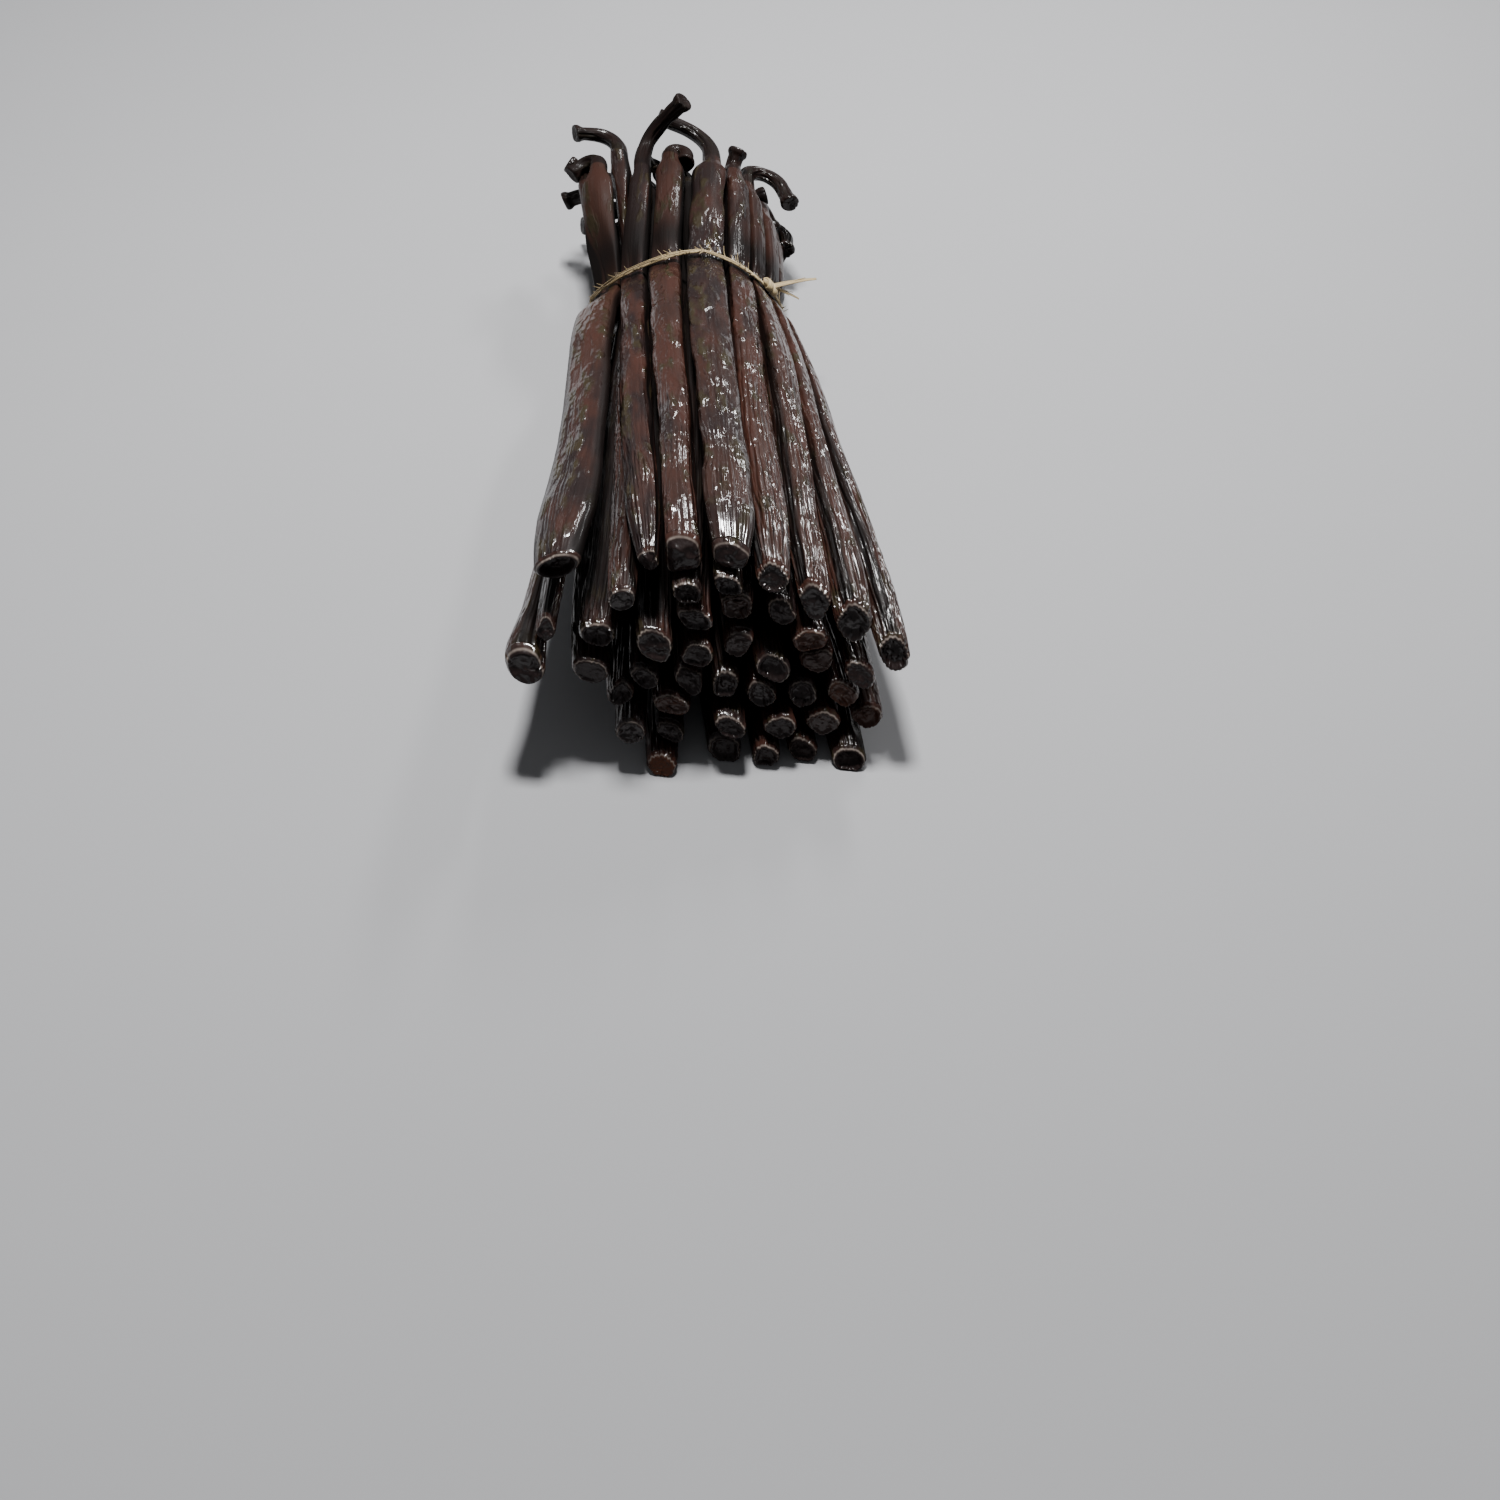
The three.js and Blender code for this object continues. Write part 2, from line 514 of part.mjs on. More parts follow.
// Each hook of the rows tries a few ways to curl and keeps the one that stays clearest of the
// hooks made before it, of the ground and of its ceiling.
function chooseHooks(pods) {
  const made = [];
  for (const pod of pods) {
    const outward = Math.atan2(Math.max(pod.stem.z - HOOKS_OUT_FROM, 0.5), pod.stem.x);
    let best = null;
    for (let k = 0; k < (pod.shown ? 1 : HOOK_TRIES); k++) {
      const curl = outward + radians(between(-HOOK_SWING, HOOK_SWING));
      const trial = { curl, turn: radians(between(...HOOK_TURN)), length: between(...HOOK_LENGTH) };
      const hook = pod.shown ? pod.hook : trial;
      const points = hookLine(pod, hook, 6).map((p) => p.point);
      const clearances = points.map((p) => {
        const apart = made.map((other) => p.distanceTo(other));
        return Math.min(9, 2 * (p.z - SCAR_RADIUS - 0.2), HOOK_CEILING - p.z, ...apart);
      });
      const clear = Math.min(...clearances);
      if (!best || clear > best.clear) best = { clear, hook, points };
    }
    pod.hook = best.hook;
    made.push(...best.points);
  }
}

// The core's outline at a station: the hull of the pods' middles there, found from how far they
// reach in each direction, and drawn in a little.
function coreRing(pods, station) {
  const inside = pods.filter((pod) => !pod.stray || station > STRAYS_JOIN_AT);
  const middles = inside.map((pod) => podAt(pod, station));
  const centre = { x: 0, z: 0 };
  for (const m of middles) {
    centre.x += m.x / middles.length;
    centre.z += m.z / middles.length;
  }
  const directions = Array.from({ length: CORE_SIDES }, (_, k) => (k * 2 * Math.PI) / CORE_SIDES);
  const reaches = directions.map((d) =>
    Math.max(...middles.map((m) => (m.x - centre.x) * Math.cos(d) + (m.z - centre.z) * Math.sin(d))),
  );
  return directions.map((d) => {
    const cuts = directions.map((e, k) =>
      Math.cos(d - e) > 0.1 ? reaches[k] / Math.cos(d - e) : Infinity,
    );
    const r = Math.min(...cuts) - CORE_INSET;
    const z = Math.max(centre.z + r * Math.sin(d), CORE_CLEARANCE);
    return lean(new THREE.Vector3(centre.x + r * Math.cos(d), station, z));
  });
}

// How deep a pod's middle lies inside the core's outline at a station.
function depthAt(pods, pod, station) {
  const { x, z } = podAt(pod, station);
  const ring = coreRing(pods, station);
  let depth = Infinity;
  ring.forEach((p, k) => {
    const q = ring[(k + 1) % ring.length];
    const edge = new THREE.Vector2(q.x - p.x, q.z - p.z).normalize();
    depth = Math.min(depth, edge.x * (z - p.z) - edge.y * (x - p.x));
  });
  return depth;
}

// A pod of the table, or one at the bundle's outside, is one solid. Of the rest only the two ends
// are, because the core fills what lies between.
function podSolids(pods, index) {
  const pod = pods[index];
  const tip = tipAt(pod);
  const { slant, end, neckAt } = pod;
  const blunt = [
    { at: tip, scale: [TIP_FACE * end[0], TIP_FACE * end[1]], slant },
    { at: tip + TIP_EDGE, scale: end, slant },
  ];
  const full = { at: tip + TIP_TAPER };
  const neck = [{ at: neckAt - NECK_LENGTH }, { at: neckAt }];
  if (pod.outer) {
    const middle = BODY_STATIONS.filter((at) => at > full.at + 6).map((at) => ({ at }));
    const sides = pod.shown ? SHOWN_SIDES : OTHER_SIDES;
    const body = bodyRings(pods, index, [...blunt, full, ...middle, ...neck], sides);
    return [loft([...body, ...hookRings(pod, pod.shown ? 6 : 4, sides)])];
  }
  const inside = Math.max(full.at, CORE_FROM) + 4;
  const front = bodyRings(pods, index, [...blunt, { at: inside }], OTHER_SIDES);
  const back = bodyRings(pods, index, [{ at: CORE_TO - 6 }, { at: neckAt }], OTHER_SIDES);
  return [loft(front), loft([...back, ...hookRings(pod, 3, OTHER_SIDES)])];
}

// All pods and the core in one closed solid, flat where it rests. Hollows that the union seals
// are dropped with the small bodies, so they end up filled.
function podBundle(pods) {
  const pieces = [solid(loft(CORE_STATIONS.map((at) => coreRing(pods, at))))];
  pods.forEach((_, index) => pieces.push(...podSolids(pods, index).map(solid)));
  const bodies = wasm.Manifold.union(pieces).decompose();
  bodies.sort((a, b) => b.volume() - a.volume());
  return bodies[0].trimByPlane([0, 0, 1], PRESSED);
}

// ---- The tie ----------------------------------------------------------------------------------
// A ring of a flat strand: width along one direction, thickness along the other.
function strandRing(middle, across, outward, width, thickness) {
  const ring = [];
  for (let k = 0; k < 6; k++) {
    const angle = (k * Math.PI) / 3;
    const p = middle.clone().addScaledVector(across, (width / 2) * Math.cos(angle));
    ring.push(p.addScaledVector(outward, (thickness / 2) * Math.sin(angle)));
  }
  return ring;
}

// The direction square to the waist's outline.
const squareOut = (angle) => waistPoint(angle, 1).sub(waistPoint(angle, 0)).normalize();

function tieSolid() {
  const along = new THREE.Vector3(0, 1, 0);
  const out = GAP + 0.1 + STRAND_THICKNESS / 2;
  const hoop = Array.from({ length: STRAND_STEPS }, (_, k) => {
    const angle = (k * 2 * Math.PI) / STRAND_STEPS;
    return strandRing(waistPoint(angle, out), along, squareOut(angle), STRAND_WIDTH, STRAND_THICKNESS);
  });
  const outward = squareOut(radians(KNOT_ANGLE));
  const round = new THREE.Vector3().crossVectors(along, outward);
  const knotMiddle = waistPoint(radians(KNOT_ANGLE), out + KNOT_OUT);
  const knot = [-1, -0.72, 0, 0.72, 1].map((t) => {
    const swell = Math.sqrt(1.08 - t * t);
    const middle = knotMiddle.clone().addScaledVector(round, (t * KNOT_LENGTH) / 2);
    return strandRing(middle, along, outward, KNOT_WIDTH * swell, KNOT_THICKNESS * swell);
  });
  const tails = TAILS.map(({ length, turn, rise, width }) => {
    const [swing, lift] = [radians(turn), radians(rise)];
    const heading = new THREE.Vector3(Math.cos(lift), Math.sin(swing), Math.sin(lift)).normalize();
    const up = new THREE.Vector3(-heading.z, 0, heading.x).normalize();
    return [0, 0.35, 0.7, 1].map((t) => {
      const middle = knotMiddle.clone().addScaledVector(heading, t * length);
      middle.addScaledVector(up, -TAIL_SAG * t * t);
      return strandRing(middle, along, up, width * (1 - 0.5 * t), TAIL_THICKNESS * (1 - 0.4 * t));
    });
  });
  const leaning = (rings) => rings.map((ring) => ring.map(lean));
  const ends = [knot, ...tails].map((rings) => loft(leaning(rings)));
  return wasm.Manifold.union([loft(leaning(hoop), true), ...ends].map(solid));
}

// ---- The part ---------------------------------------------------------------------------------
const pods = makePods();
chooseHooks(pods);
for (const pod of pods) {
  const depths = [CORE_FROM, 60, TIE_AT].map((at) => depthAt(pods, pod, at));
  pod.outer = pod.shown || Math.min(...depths) < CORE_COVER;
}

const podMaterial = new THREE.MeshStandardMaterial({ color: 0x2e211b, roughness: 0.42, metalness: 0 });
const raffiaMaterial = new THREE.MeshStandardMaterial({ color: 0xc9b184, roughness: 0.75, metalness: 0 });

const bundle = new THREE.Mesh(geometryOf(podBundle(pods)), podMaterial);
bundle.name = "vanilla_pods";
const tie = new THREE.Mesh(geometryOf(tieSolid()), raffiaMaterial);
tie.name = "raffia_tie";

const part = new THREE.Group();
part.add(bundle, tie);
const box = new THREE.Box3().setFromObject(part);
const middle = box.getCenter(new THREE.Vector3());
part.position.set(-middle.x, -middle.y, -box.min.z);

export default part;
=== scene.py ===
"""A bundle of cured vanilla pods tied with raffia: its looks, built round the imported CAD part.

Run as a script in Blender 4.5. The layout of the pods is worked out by the same rules and the same
random numbers as the solids, and every surface is a grid worked out with numpy. "Station" is the
distance along the bundle from the foremost blossom ends, "across" is X and "up" is Z. Lengths are
in millimetres, except in the settings, the studio and the finished meshes, which are in metres.
"""

from types import SimpleNamespace

import bpy
import numpy as np
from mathutils import Matrix


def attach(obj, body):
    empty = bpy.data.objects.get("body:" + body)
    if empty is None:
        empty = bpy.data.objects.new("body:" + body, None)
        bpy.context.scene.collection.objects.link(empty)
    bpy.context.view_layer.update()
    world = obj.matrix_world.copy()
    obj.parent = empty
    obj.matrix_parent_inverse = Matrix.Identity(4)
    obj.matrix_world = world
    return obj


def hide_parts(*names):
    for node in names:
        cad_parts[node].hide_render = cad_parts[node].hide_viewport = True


bl_info = {
    "name": "Vanilla Pod Bundle",
    "version": (1, 0, 0),
    "blender": (4, 5, 0),
    "location": "3D View > Sidebar > Vanilla",
    "description": "Builds a tied bundle of cured vanilla pods and its studio",
    "category": "Add Mesh",
}

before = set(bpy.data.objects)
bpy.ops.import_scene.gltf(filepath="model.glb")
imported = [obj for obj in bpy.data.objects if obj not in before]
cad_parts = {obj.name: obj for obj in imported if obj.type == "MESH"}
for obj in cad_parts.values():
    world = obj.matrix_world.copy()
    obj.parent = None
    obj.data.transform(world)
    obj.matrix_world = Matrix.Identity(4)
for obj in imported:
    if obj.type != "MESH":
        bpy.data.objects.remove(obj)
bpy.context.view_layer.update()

MM = 0.001
LAYOUT_ORIGIN = np.array([-0.131, -81.072, -0.6])  # where the layout's origin lies in the part's frame

# ---- Layout, as in the solids -------------------------------------------------------------------
TIE_AT, TIE_LAND = 114.0, 1.6  # station of the tie, and half the length that it holds
NECK_AT, NECK_SOONER, NECK_LATER, NECK_LENGTH = 147.0, 5.0, 4.0, 7.0
WAIST_ACROSS, WAIST_UP, WAIST_HALF_WIDTH, WAIST_HALF_HEIGHT = -1.5, 15.6, 19.2, 13.7
WAIST_SKEW, WAIST_ROUND = 0.27, 1.42  # lean to the right per mm up; 2 would be an ellipse
WAIST_BITE, WAIST_WIDENING = 0.8, 0.5  # share of a pod's half size kept in; room gained per mm
WAIST_DIRECTIONS, WAIST_HALVINGS = 48, 30
LEAN, SLANT = 0.08, 0.18  # how much nearer the fan a place lies per mm up and per mm across
FACE_SLOPE, FACE_SCATTER = 0.36, (-0.8, 2.4)  # a blossom end's set-back per mm up; what it varies by
FACE_MIDDLE = np.array([1.0, 18.5])
GAP, PRESSED = 0.3, 0.6  # clearance between pods; height that the lowest are pressed flat at
# The pods that make the top, from the left stray to the right edge: tip (across, up, set-back), tie
# (across, depth), stem (across, up), width, hook (way it curls and turn in degrees, length).
SHOWN_PODS = [
    ((-30.4, 20.9, 6.5), (-19.0, 6), (-21.6, 18.5), 6.4, (200, 100, 10)),
    ((-27.0, 26.6, 10), (-19.0, 1.6), (-22.0, 23.2), 5.8, (150, 70, 8)),
    ((-24.2, 37.4, 14.6), (-17.2, 0), (-19.0, 27.4), 10.2, (205, 130, 11)),
    ((-13.9, 33.2, 9.6), (-15.2, 1.6), (-14.4, 27.0), 7.2, (168, 110, 15)),
    ((-8.8, 37.6, 14.4), (-12.0, 0), (-9.6, 28.2), 7.6, (50, 96, 23)),
    ((-4.0, 38.2, 14), (-5.2, 0), (-3.7, 28.6), 8.8, (0, 185, 10)),
    ((3.6, 38.2, 14), (2.8, 0), (5.0, 28.2), 10.6, (160, 86, 19)),
    ((10.5, 33.8, 12.7), (9.2, 0), (9.6, 26.0), 9.2, (60, 45, 7)),
    ((18.0, 29.4, 10.8), (12.6, 0), (12.4, 22.4), 9.2, (-14, 165, 22)),
    ((24.6, 26.0, 9.5), (15.0, 0), (15.4, 18.2), 9.2, (-60, 120, 9)),
    ((31.2, 20.8, 7), (16.6, 0), (17.6, 12.0), 7.8, (-28, 190, 13)),
]
STRAY, THIN_STRAY, BROAD, TUCKED, NARROW, BLUNT, WIDEST, RIBBED = range(8)
# What sets some of them apart: the end's width and thickness over the body's, the tilt of the broad
# side, how much sooner it spreads, how far it swings to the right, how much it widens to its tip.
TIP_END = (0.86, 0.86)
ENDS = {
    STRAY: (0.8, 1.45), BROAD: (0.74, 0.78), NARROW: (0.56, 0.66), BLUNT: (1.3, 1.05),
    WIDEST: (0.7, 0.76), RIBBED: (0.74, 0.8),
}
LIES, BULGES, BENDS = {BROAD: 26.0}, {BROAD: 0.22}, {BROAD: 1.8}
FLARES = {STRAY: 1.3, THIN_STRAY: 1.1, BROAD: 1.25, NARROW: 1.22, BLUNT: 0.88}
# The rest: (across, up) of each tip, from the top down.
FACE_PODS = [
    (-3.4, 31.5), (3.7, 32.2), (11.5, 27.1), (5.1, 27.9), (-1.1, 26.5),
    (-19.1, 24.1), (-8.9, 23.4), (15.9, 21.9), (4.4, 21.5), (-0.9, 20.5), (10.8, 19.2),
    (-19.9, 18.2), (-10.9, 17.5), (18.3, 17.5), (-1.5, 16.6), (25.0, 16.4),
    (3.2, 14.3), (-15.2, 13.3), (23.0, 12.1), (15.8, 11.7), (7.1, 11.5), (-6.2, 11.2),
    (-13.7, 8.8), (3.7, 8.1), (10.8, 7.8), (25.4, 7.5), (-7.5, 5.8), (17.5, 5.1),
    (4.5, 4.4), (10.6, 4.2), (-8.3, 1.9), (22.8, 1.2), (14.9, -0.6),
]
SQUEEZE = (0.56, 0.62)  # a place at the tie over the place in the fan
BODY_WIDTH, BODY_VARIES = 7.6, (0.86, 1.1)
FLATNESS, FLATNESS_VARIES, TILT = 0.8, (0.9, 1.08), 0.7  # thickness over width; tilt in radians
WIDE_FROM, WIDE_THINNER = 10.0, 0.75
WAIST_WIDTH, TOP_THICKNESS, TOP_DEPTH = 5.1, 5.2, 2.2
STEM_WIDTH, STEM_ROUNDNESS, STEM_SHARE = 5.0, 0.9, (0.44, 0.36)
STEM_SPREAD, STEM_RISE, STEM_DROP, STEM_JITTER = 1.1, 1.06, 2.6, (1.2, 0.8)
NECK_RADIUS, STUB_RADIUS, SCAR_RADIUS = 2.0, 1.65, 2.1
TIP_TAPER, TIP_EDGE, TIP_SLANT = 14.0, 0.9, (0.2, 0.75)
FLARE_FROM, SWING_MOST = 0.5, 0.6  # shares of the way to the tip
EARLY, EARLY_WITHIN = (0.08, 0.22), 0.1  # how a pod moves out sooner past the tie
FULL_SIZE_AT = (0.3, 0.6)  # share of the way to tip and stem at which it has its whole width
WANDER, WANDER_TURN, STEM_WANDER, WANDER_UP = (0.2, 1.0), (0.03, 0.04), 0.2, 0.6
HOOK_TRIES, HOOK_SWING, HOOK_TURN, HOOK_LENGTH = 7, 75.0, (60, 150), (9, 15)
HOOK_TURNS_FROM, HOOK_TURNS_OVER = 0.1, 0.72  # shares of its length
HOOK_CEILING, HOOKS_OUT_FROM, HOOK_FLOOR, HOOK_CLEAR = 27.0, 7.0, 0.2, 9
BLEND, NEIGHBOUR_WITHIN, FADE_AHEAD, LEAST_ROOM = 9, 16.0, 8, 0.4
PUSH, ABOVE_GROUND = 0.25, 0.9
FAN_ROUNDS, TIE_ROUNDS, STEM_ROUNDS = 8, 300, 60
SEED = 20

# ---- Pieces: which pods make them, and their grids: rings on the face, along the body and round the
# hook, and points round a ring ---------------------------------------------------------------------
TOP_PODS = (BROAD, NARROW, BLUNT, WIDEST)
FLANK_PODS = (RIBBED, 8, 9, 10)
LEFT_PODS = (STRAY, THIN_STRAY, TUCKED)
UPPER_ROWS, MIDDLE_ROWS, LOWER_ROWS = range(11, 22), range(22, 33), range(33, 44)
SHOWN_GRID, LEFT_GRID, ROW_GRID = (18, 176, 26, 104), (20, 150, 26, 84), (16, 64, 14, 56)

# ---- The skin: tones are brownness, redness and wetness; tips are the length of the rounded edge,
# its power, the depth of the dish and the droop ----------------------------------------------------
SHOWN_LOOKS = [
    ((0.45, 0.3, 0.5), (2.0, 2.4, 0.6, 0.6)),
    ((0.5, 0.5, 0.5), (1.5, 2.4, 0.3, 0.4)),
    ((0.52, 0.35, 0.12), (1.0, 3.4, 1.5, 1.0)),
    ((0.4, 0.4, 0.6), (1.7, 2.6, 0.5, 0.8)),
    ((0.1, 0.45, 0.1), (2.0, 2.1, 0.0, 1.6)),
    ((0.66, 0.6, 0.35), (2.6, 2.1, 0.0, 1.3)),
    ((0.46, 0.2, 0.4), (2.4, 2.4, 0.2, 2.2)),
    ((0.74, 0.7, 0.65), (1.5, 2.8, 0.5, 0.8)),
    ((0.70, 0.45, 0.75), (2.0, 2.5, 0.5, 0.8)),
    ((0.65, 0.5, 0.7), (1.3, 2.9, 0.7, 0.6)),
    ((0.55, 0.3, 0.8), (1.1, 3.2, 0.8, 0.5)),
]
LOOK_RANGES = ((0.0, 0.4), (0, 1), (0.1, 0.7), (0.9, 2.2), (2.2, 3.4), (0.3, 1.0), (0, 0.7))
SMOOTH_TIPS, SMOOTH_LENGTH, SMOOTH_FADE = {STRAY: 0.4, BLUNT: 0.8, WIDEST: 1.3}, 5.0, 12.0
WET_PLACES = {BLUNT: ((50.0, 9.0),), WIDEST: ((50.0, 10.0), (119.0, 4.0))}  # station and length
BROWNER_UP = {BROAD: 0.7, WIDEST: -0.5, RIBBED: -0.7}  # browner towards the tie
BROWNER_FROM, BROWNER_OVER = 45.0, 50.0
DULL_AT, DULL_LENGTH, DULL_STEMS_OVER = 120.0, 7.0, 18.0  # the band of dull skin above the tie
# Its relief. Ridges are shares of the setting; they fade from the tip along the pod.
RIDGES_AT_TIP, SHALLOW_RIDGES, RIBS, RIDGES_BEHIND, RIDGES_FADE = 0.5, {BROAD: 0.3}, 2.0, 0.08, 44.0
FEWEST_RIDGES, RIM_FADE = 8, 5.0
PLEAT_DEPTH, PLEATS_FADE = 0.15, 9.0
PUCKER_DEPTH, HOLLOW_DEPTH, LUMP_DEPTH, RIBBED_LUMP_DEPTH = 0.05, 0.25, 0.45, 0.10
SIDES_SUNK, SIDE_SHADE_FROM = 0.012, 0.88  # shares of the pod's width, and of the way to its side from which it gets painted shade
# Painted shade on pods deep in the bundle: how near the middle across and its fade, and how far behind the
# tip it starts and over what length.
BURIED_WITHIN, BURIED_FADE, BURIED_FROM, BURIED_OVER = 24.0, 6.0, 2.0, 10.0
# Noises that vary it: waves round the pod (0: one a ridge), length of a wave along it, and seed.
RIPPLES = {
    "sway": (5, 26.0, 901), "wobble": (9, 8.0, 701), "weave": (0, 5.0, 220), "strength": (6, 12.0, 410),
    "pleat": (8, 30.0, 250), "pucker": (0, 2.0, 300), "hollow": (3, 19.0, 500), "lump": (4, 8.5, 550),
}
POD_OFFSET = 37.0  # how far the noises of one pod lie from those of the next
# The cut face: folds in shares of the radius, the dish and the lip inside the rim.
FOLDS, FOLD_CELLS, FOLD_DEPTH, FOLDS_FROM, FOLDS_OVER = 2.1, 83, 0.25, 0.5, 0.4
DISH_FROM, DISH_OVER = 0.50, 0.28
LIP_AT, LIP_WIDTH, LIP_HEIGHT = 0.80, 0.07, 0.3
# Where the cut face's mark fades out; the painted rim highlight lies in that fade.
RIM_FROM, RIM_OVER = 0.82, 0.13
LOBES, LOBE_SIZE = 6, 0.09
ROWS_EVEN, ROWS_POWER, FACE_POWER = 0.22, 1.8, 1.9  # how rings crowd towards the tip and the rim
RELIEF_ENDS_OVER, DROOP_OVER = 9.0, 12.0
GRAIN_RADIUS, GRAIN_OFFSET = 4.0, (31.0, 11.0)  # the cylinder of the patterns; offset from pod to pod
# The scar at the end of the hook: rings as shares of its radius, and how far out they stand.
SCAR_RINGS, SCAR_OUT = (0.93, 0.8, 0.55, 0.28), (0.28, 0.36, 0.22, 0.12)
SCAR_FLARE_FROM, SCAR_FLARE_OVER = 1.6, 1.1  # where the hook widens to it, from its end
HOOK_WRINKLES, HOOK_WRINKLE_LENGTH, HOOK_WRINKLE_DEPTH, HOOK_BLEND = 9, 7.0, 0.3, 0.35

# ---- The tie ----------------------------------------------------------------------------------
KNOT_ANGLE, KNOT_OUT = 33.0, 0.6  # degrees round the waist from +X, and how far outside the strand
KNOT_TURNS, KNOT_START, KNOT_PITCH, KNOT_RADII = 1.9, 0.6, 2.6, (1.15, 0.72)
KNOT_STRAND = (1.5, 0.7)  # width and thickness
CORE_HALF_LENGTH, CORE_WIDTH, CORE_FLATNESS = 2.2, 1.7, 0.8
TAILS = [(9.5, 12, 17, 2.3), (6.0, -2, -10, 1.8)]  # length, turn and rise in degrees, width
TAIL_SAG, TAIL_WIDTH, TAIL_THICKNESS = 1.2, 0.9, 0.42
# Fibres of a tail, the tail itself among them: width, thickness, least length, how far they stray.
TAIL_FIBRES, FIBRE_SIZE, FIBRE_SHORTEST, FIBRE_STRAY = 5, (0.4, 0.2), 0.55, (0.8, 0.5)
# Strips that the strand has split into: width and thickness over the strand's, how far they stray.
STRIPS = [(0.62, 0.8, 0.12), (0.42, 0.5, 0.35), (0.34, 0.5, 0.45), (0.22, 0.4, 0.6), (0.16, 0.35, 0.8)]
STRIP_STEPS, STRIP_SUNK = 420, 0.1
# Where the strand grows darker and narrower towards the left, and how much narrower.
LEFTWARD_FROM, LEFTWARD_OVER, LEFTWARD_NARROWER = 3.0, 11.0, 0.62
LOOSE_FIBRES, FIBRE_SPAN, FIBRE_LIFT, FIBRE_SWAY = 180, (0.03, 0.14), 1.3, (2.0, 0.6)
FIBRE_WIDTH, FIBRE_THICKNESS = 0.27, 0.13

# ---- The studio, in metres and degrees ----------------------------------------------------------
FLOOR_HALF_SIDE, FLOOR_DOWN = 1.5, 0.0002
SOFTBOXES = {  # where it stands, what it faces, its size
    "key": ((0.0, 0.09, 0.51), (0.0, 0.0, 0.02), (0.08, 0.08)),
    "left": ((-0.24, 0.30, 0.21), (0.0, -0.03, 0.02), (0.03, 0.16)),
    "right": ((0.18, 0.27, 0.28), (0.0, -0.03, 0.02), (0.035, 0.12)),
}
AIR, AIR_STRENGTH = "#e6e8ec", 0.17
CAMERA_AT = np.array([-2.1, -186.6, 220.4])  # in the layout, in mm
CAMERA_YAW, CAMERA_PITCH, CAMERA_ROLL = 2.5, 48.9, -0.4


# ---- Settings ---------------------------------------------------------------------------------
def linear(code):
    """The linear colour of an sRGB hex value."""
    c = np.array([int(code[k : k + 2], 16) for k in (1, 3, 5)]) / 255
    return tuple(np.where(c <= 0.04045, c / 12.92, ((c + 0.055) / 1.055) ** 2.4))


def colour_setting(name, description, code):
    """A colour with an sRGB hex value as its default."""
    return bpy.props.FloatVectorProperty(
        name=name, description=description, subtype="COLOR", size=3, min=0, max=1, default=linear(code))


def length_setting(name, description, low, high, default):
    """A length in metres."""
    return bpy.props.FloatProperty(
        name=name, description=description, unit="LENGTH", min=low, max=high, default=default)


def power_setting(name, description, default):
    """The power of a light in watts."""
    return bpy.props.FloatProperty(
        name=name, description=description, subtype="POWER", unit="POWER", min=0, max=100, default=default)


class PodSettings(bpy.types.PropertyGroup):
    """Sizes and colours of the pods."""

    skin: colour_setting("Skin", "Brown of the skin in the light", "#3a241c")
    dark: colour_setting("Dark skin", "Near black of plumper pods", "#211716")
    warm: colour_setting("Warm patches", "Reddish brown of thinner skin", "#3d241d")
    olive: colour_setting("Olive patches", "Greenish brown of less cured skin", "#302819")
    # Crease colour: the near black of painted shade, and of the darker, duller stems and hooks.
    shade_and_dull: colour_setting("Creases", "Near black of oily creases", "#0f0b0a")
    cut: colour_setting("Pale cut", "Reddish brown of a paler cut face", "#3f2419")
    # Rim colour: a pale painted highlight on the thin edge round a cut face.
    rim: colour_setting("Rim", "Paler dried skin round a cut face", "#857a72")
    ridge_spacing: length_setting(
        "Ridge spacing", "Distance between lengthwise ridges", 0.0005, 0.004, 0.0013)
    ridge_depth: length_setting("Ridge depth", "Depth of the creases between them", 0, 0.001, 0.00036)


class RaffiaSettings(bpy.types.PropertyGroup):
    """Sizes and colours of the tie."""

    straw: colour_setting("Straw", "Pale colour of dry raffia", "#d8c294")
    # Darker straw: some fibres and stains, and the strand towards the left.
    darker_straw: colour_setting("Shaded fibre", "Darker fibres and stains from the pods' oil", "#7d673f")
    width: length_setting("Width", "Width of the strand", 0.001, 0.003, 0.0019)
    thickness: length_setting("Thickness", "Thickness of the strand", 0.0004, 0.0015, 0.0008)


class StudioSettings(bpy.types.PropertyGroup):
    """Floor, light and camera."""

    floor: colour_setting("Floor", "Colour of the floor", "#a6a6a8")
    key_power: power_setting("Key light", "Power of the softbox above", 5.0)
    left_power: power_setting("Left light", "Power of the strip behind on the left", 0.03)
    right_power: power_setting("Right light", "Power of the strip behind on the right", 0.85)
    lens: bpy.props.FloatProperty(
        name="Focal length", description="Focal length on a 36 mm sensor, in mm",
        min=20, max=200, default=40.8,
    )


# ---- Small helpers ------------------------------------------------------------------------------
def mix(a, b, t):
    """Goes from a at t = 0 to b at t = 1."""
    return a + (b - a) * t


def smooth(t):
    """The S curve 3 t^2 - 2 t^3, with t held between 0 and 1."""
    t = np.clip(t, 0, 1)
    return t * t * (3 - 2 * t)


def bell(offset, width):
    """The bell curve exp(-(offset / width)^2)."""
    return np.exp(-((offset / width) ** 2))


class Draws:
    """Random numbers, the same each run: a linear congruential generator."""

    def __init__(self, seed):
        self.state = seed

    def between(self, low, high):
        self.state = (self.state * 1664525 + 1013904223) % 2**32
        return mix(low, high, self.state / 2**32)


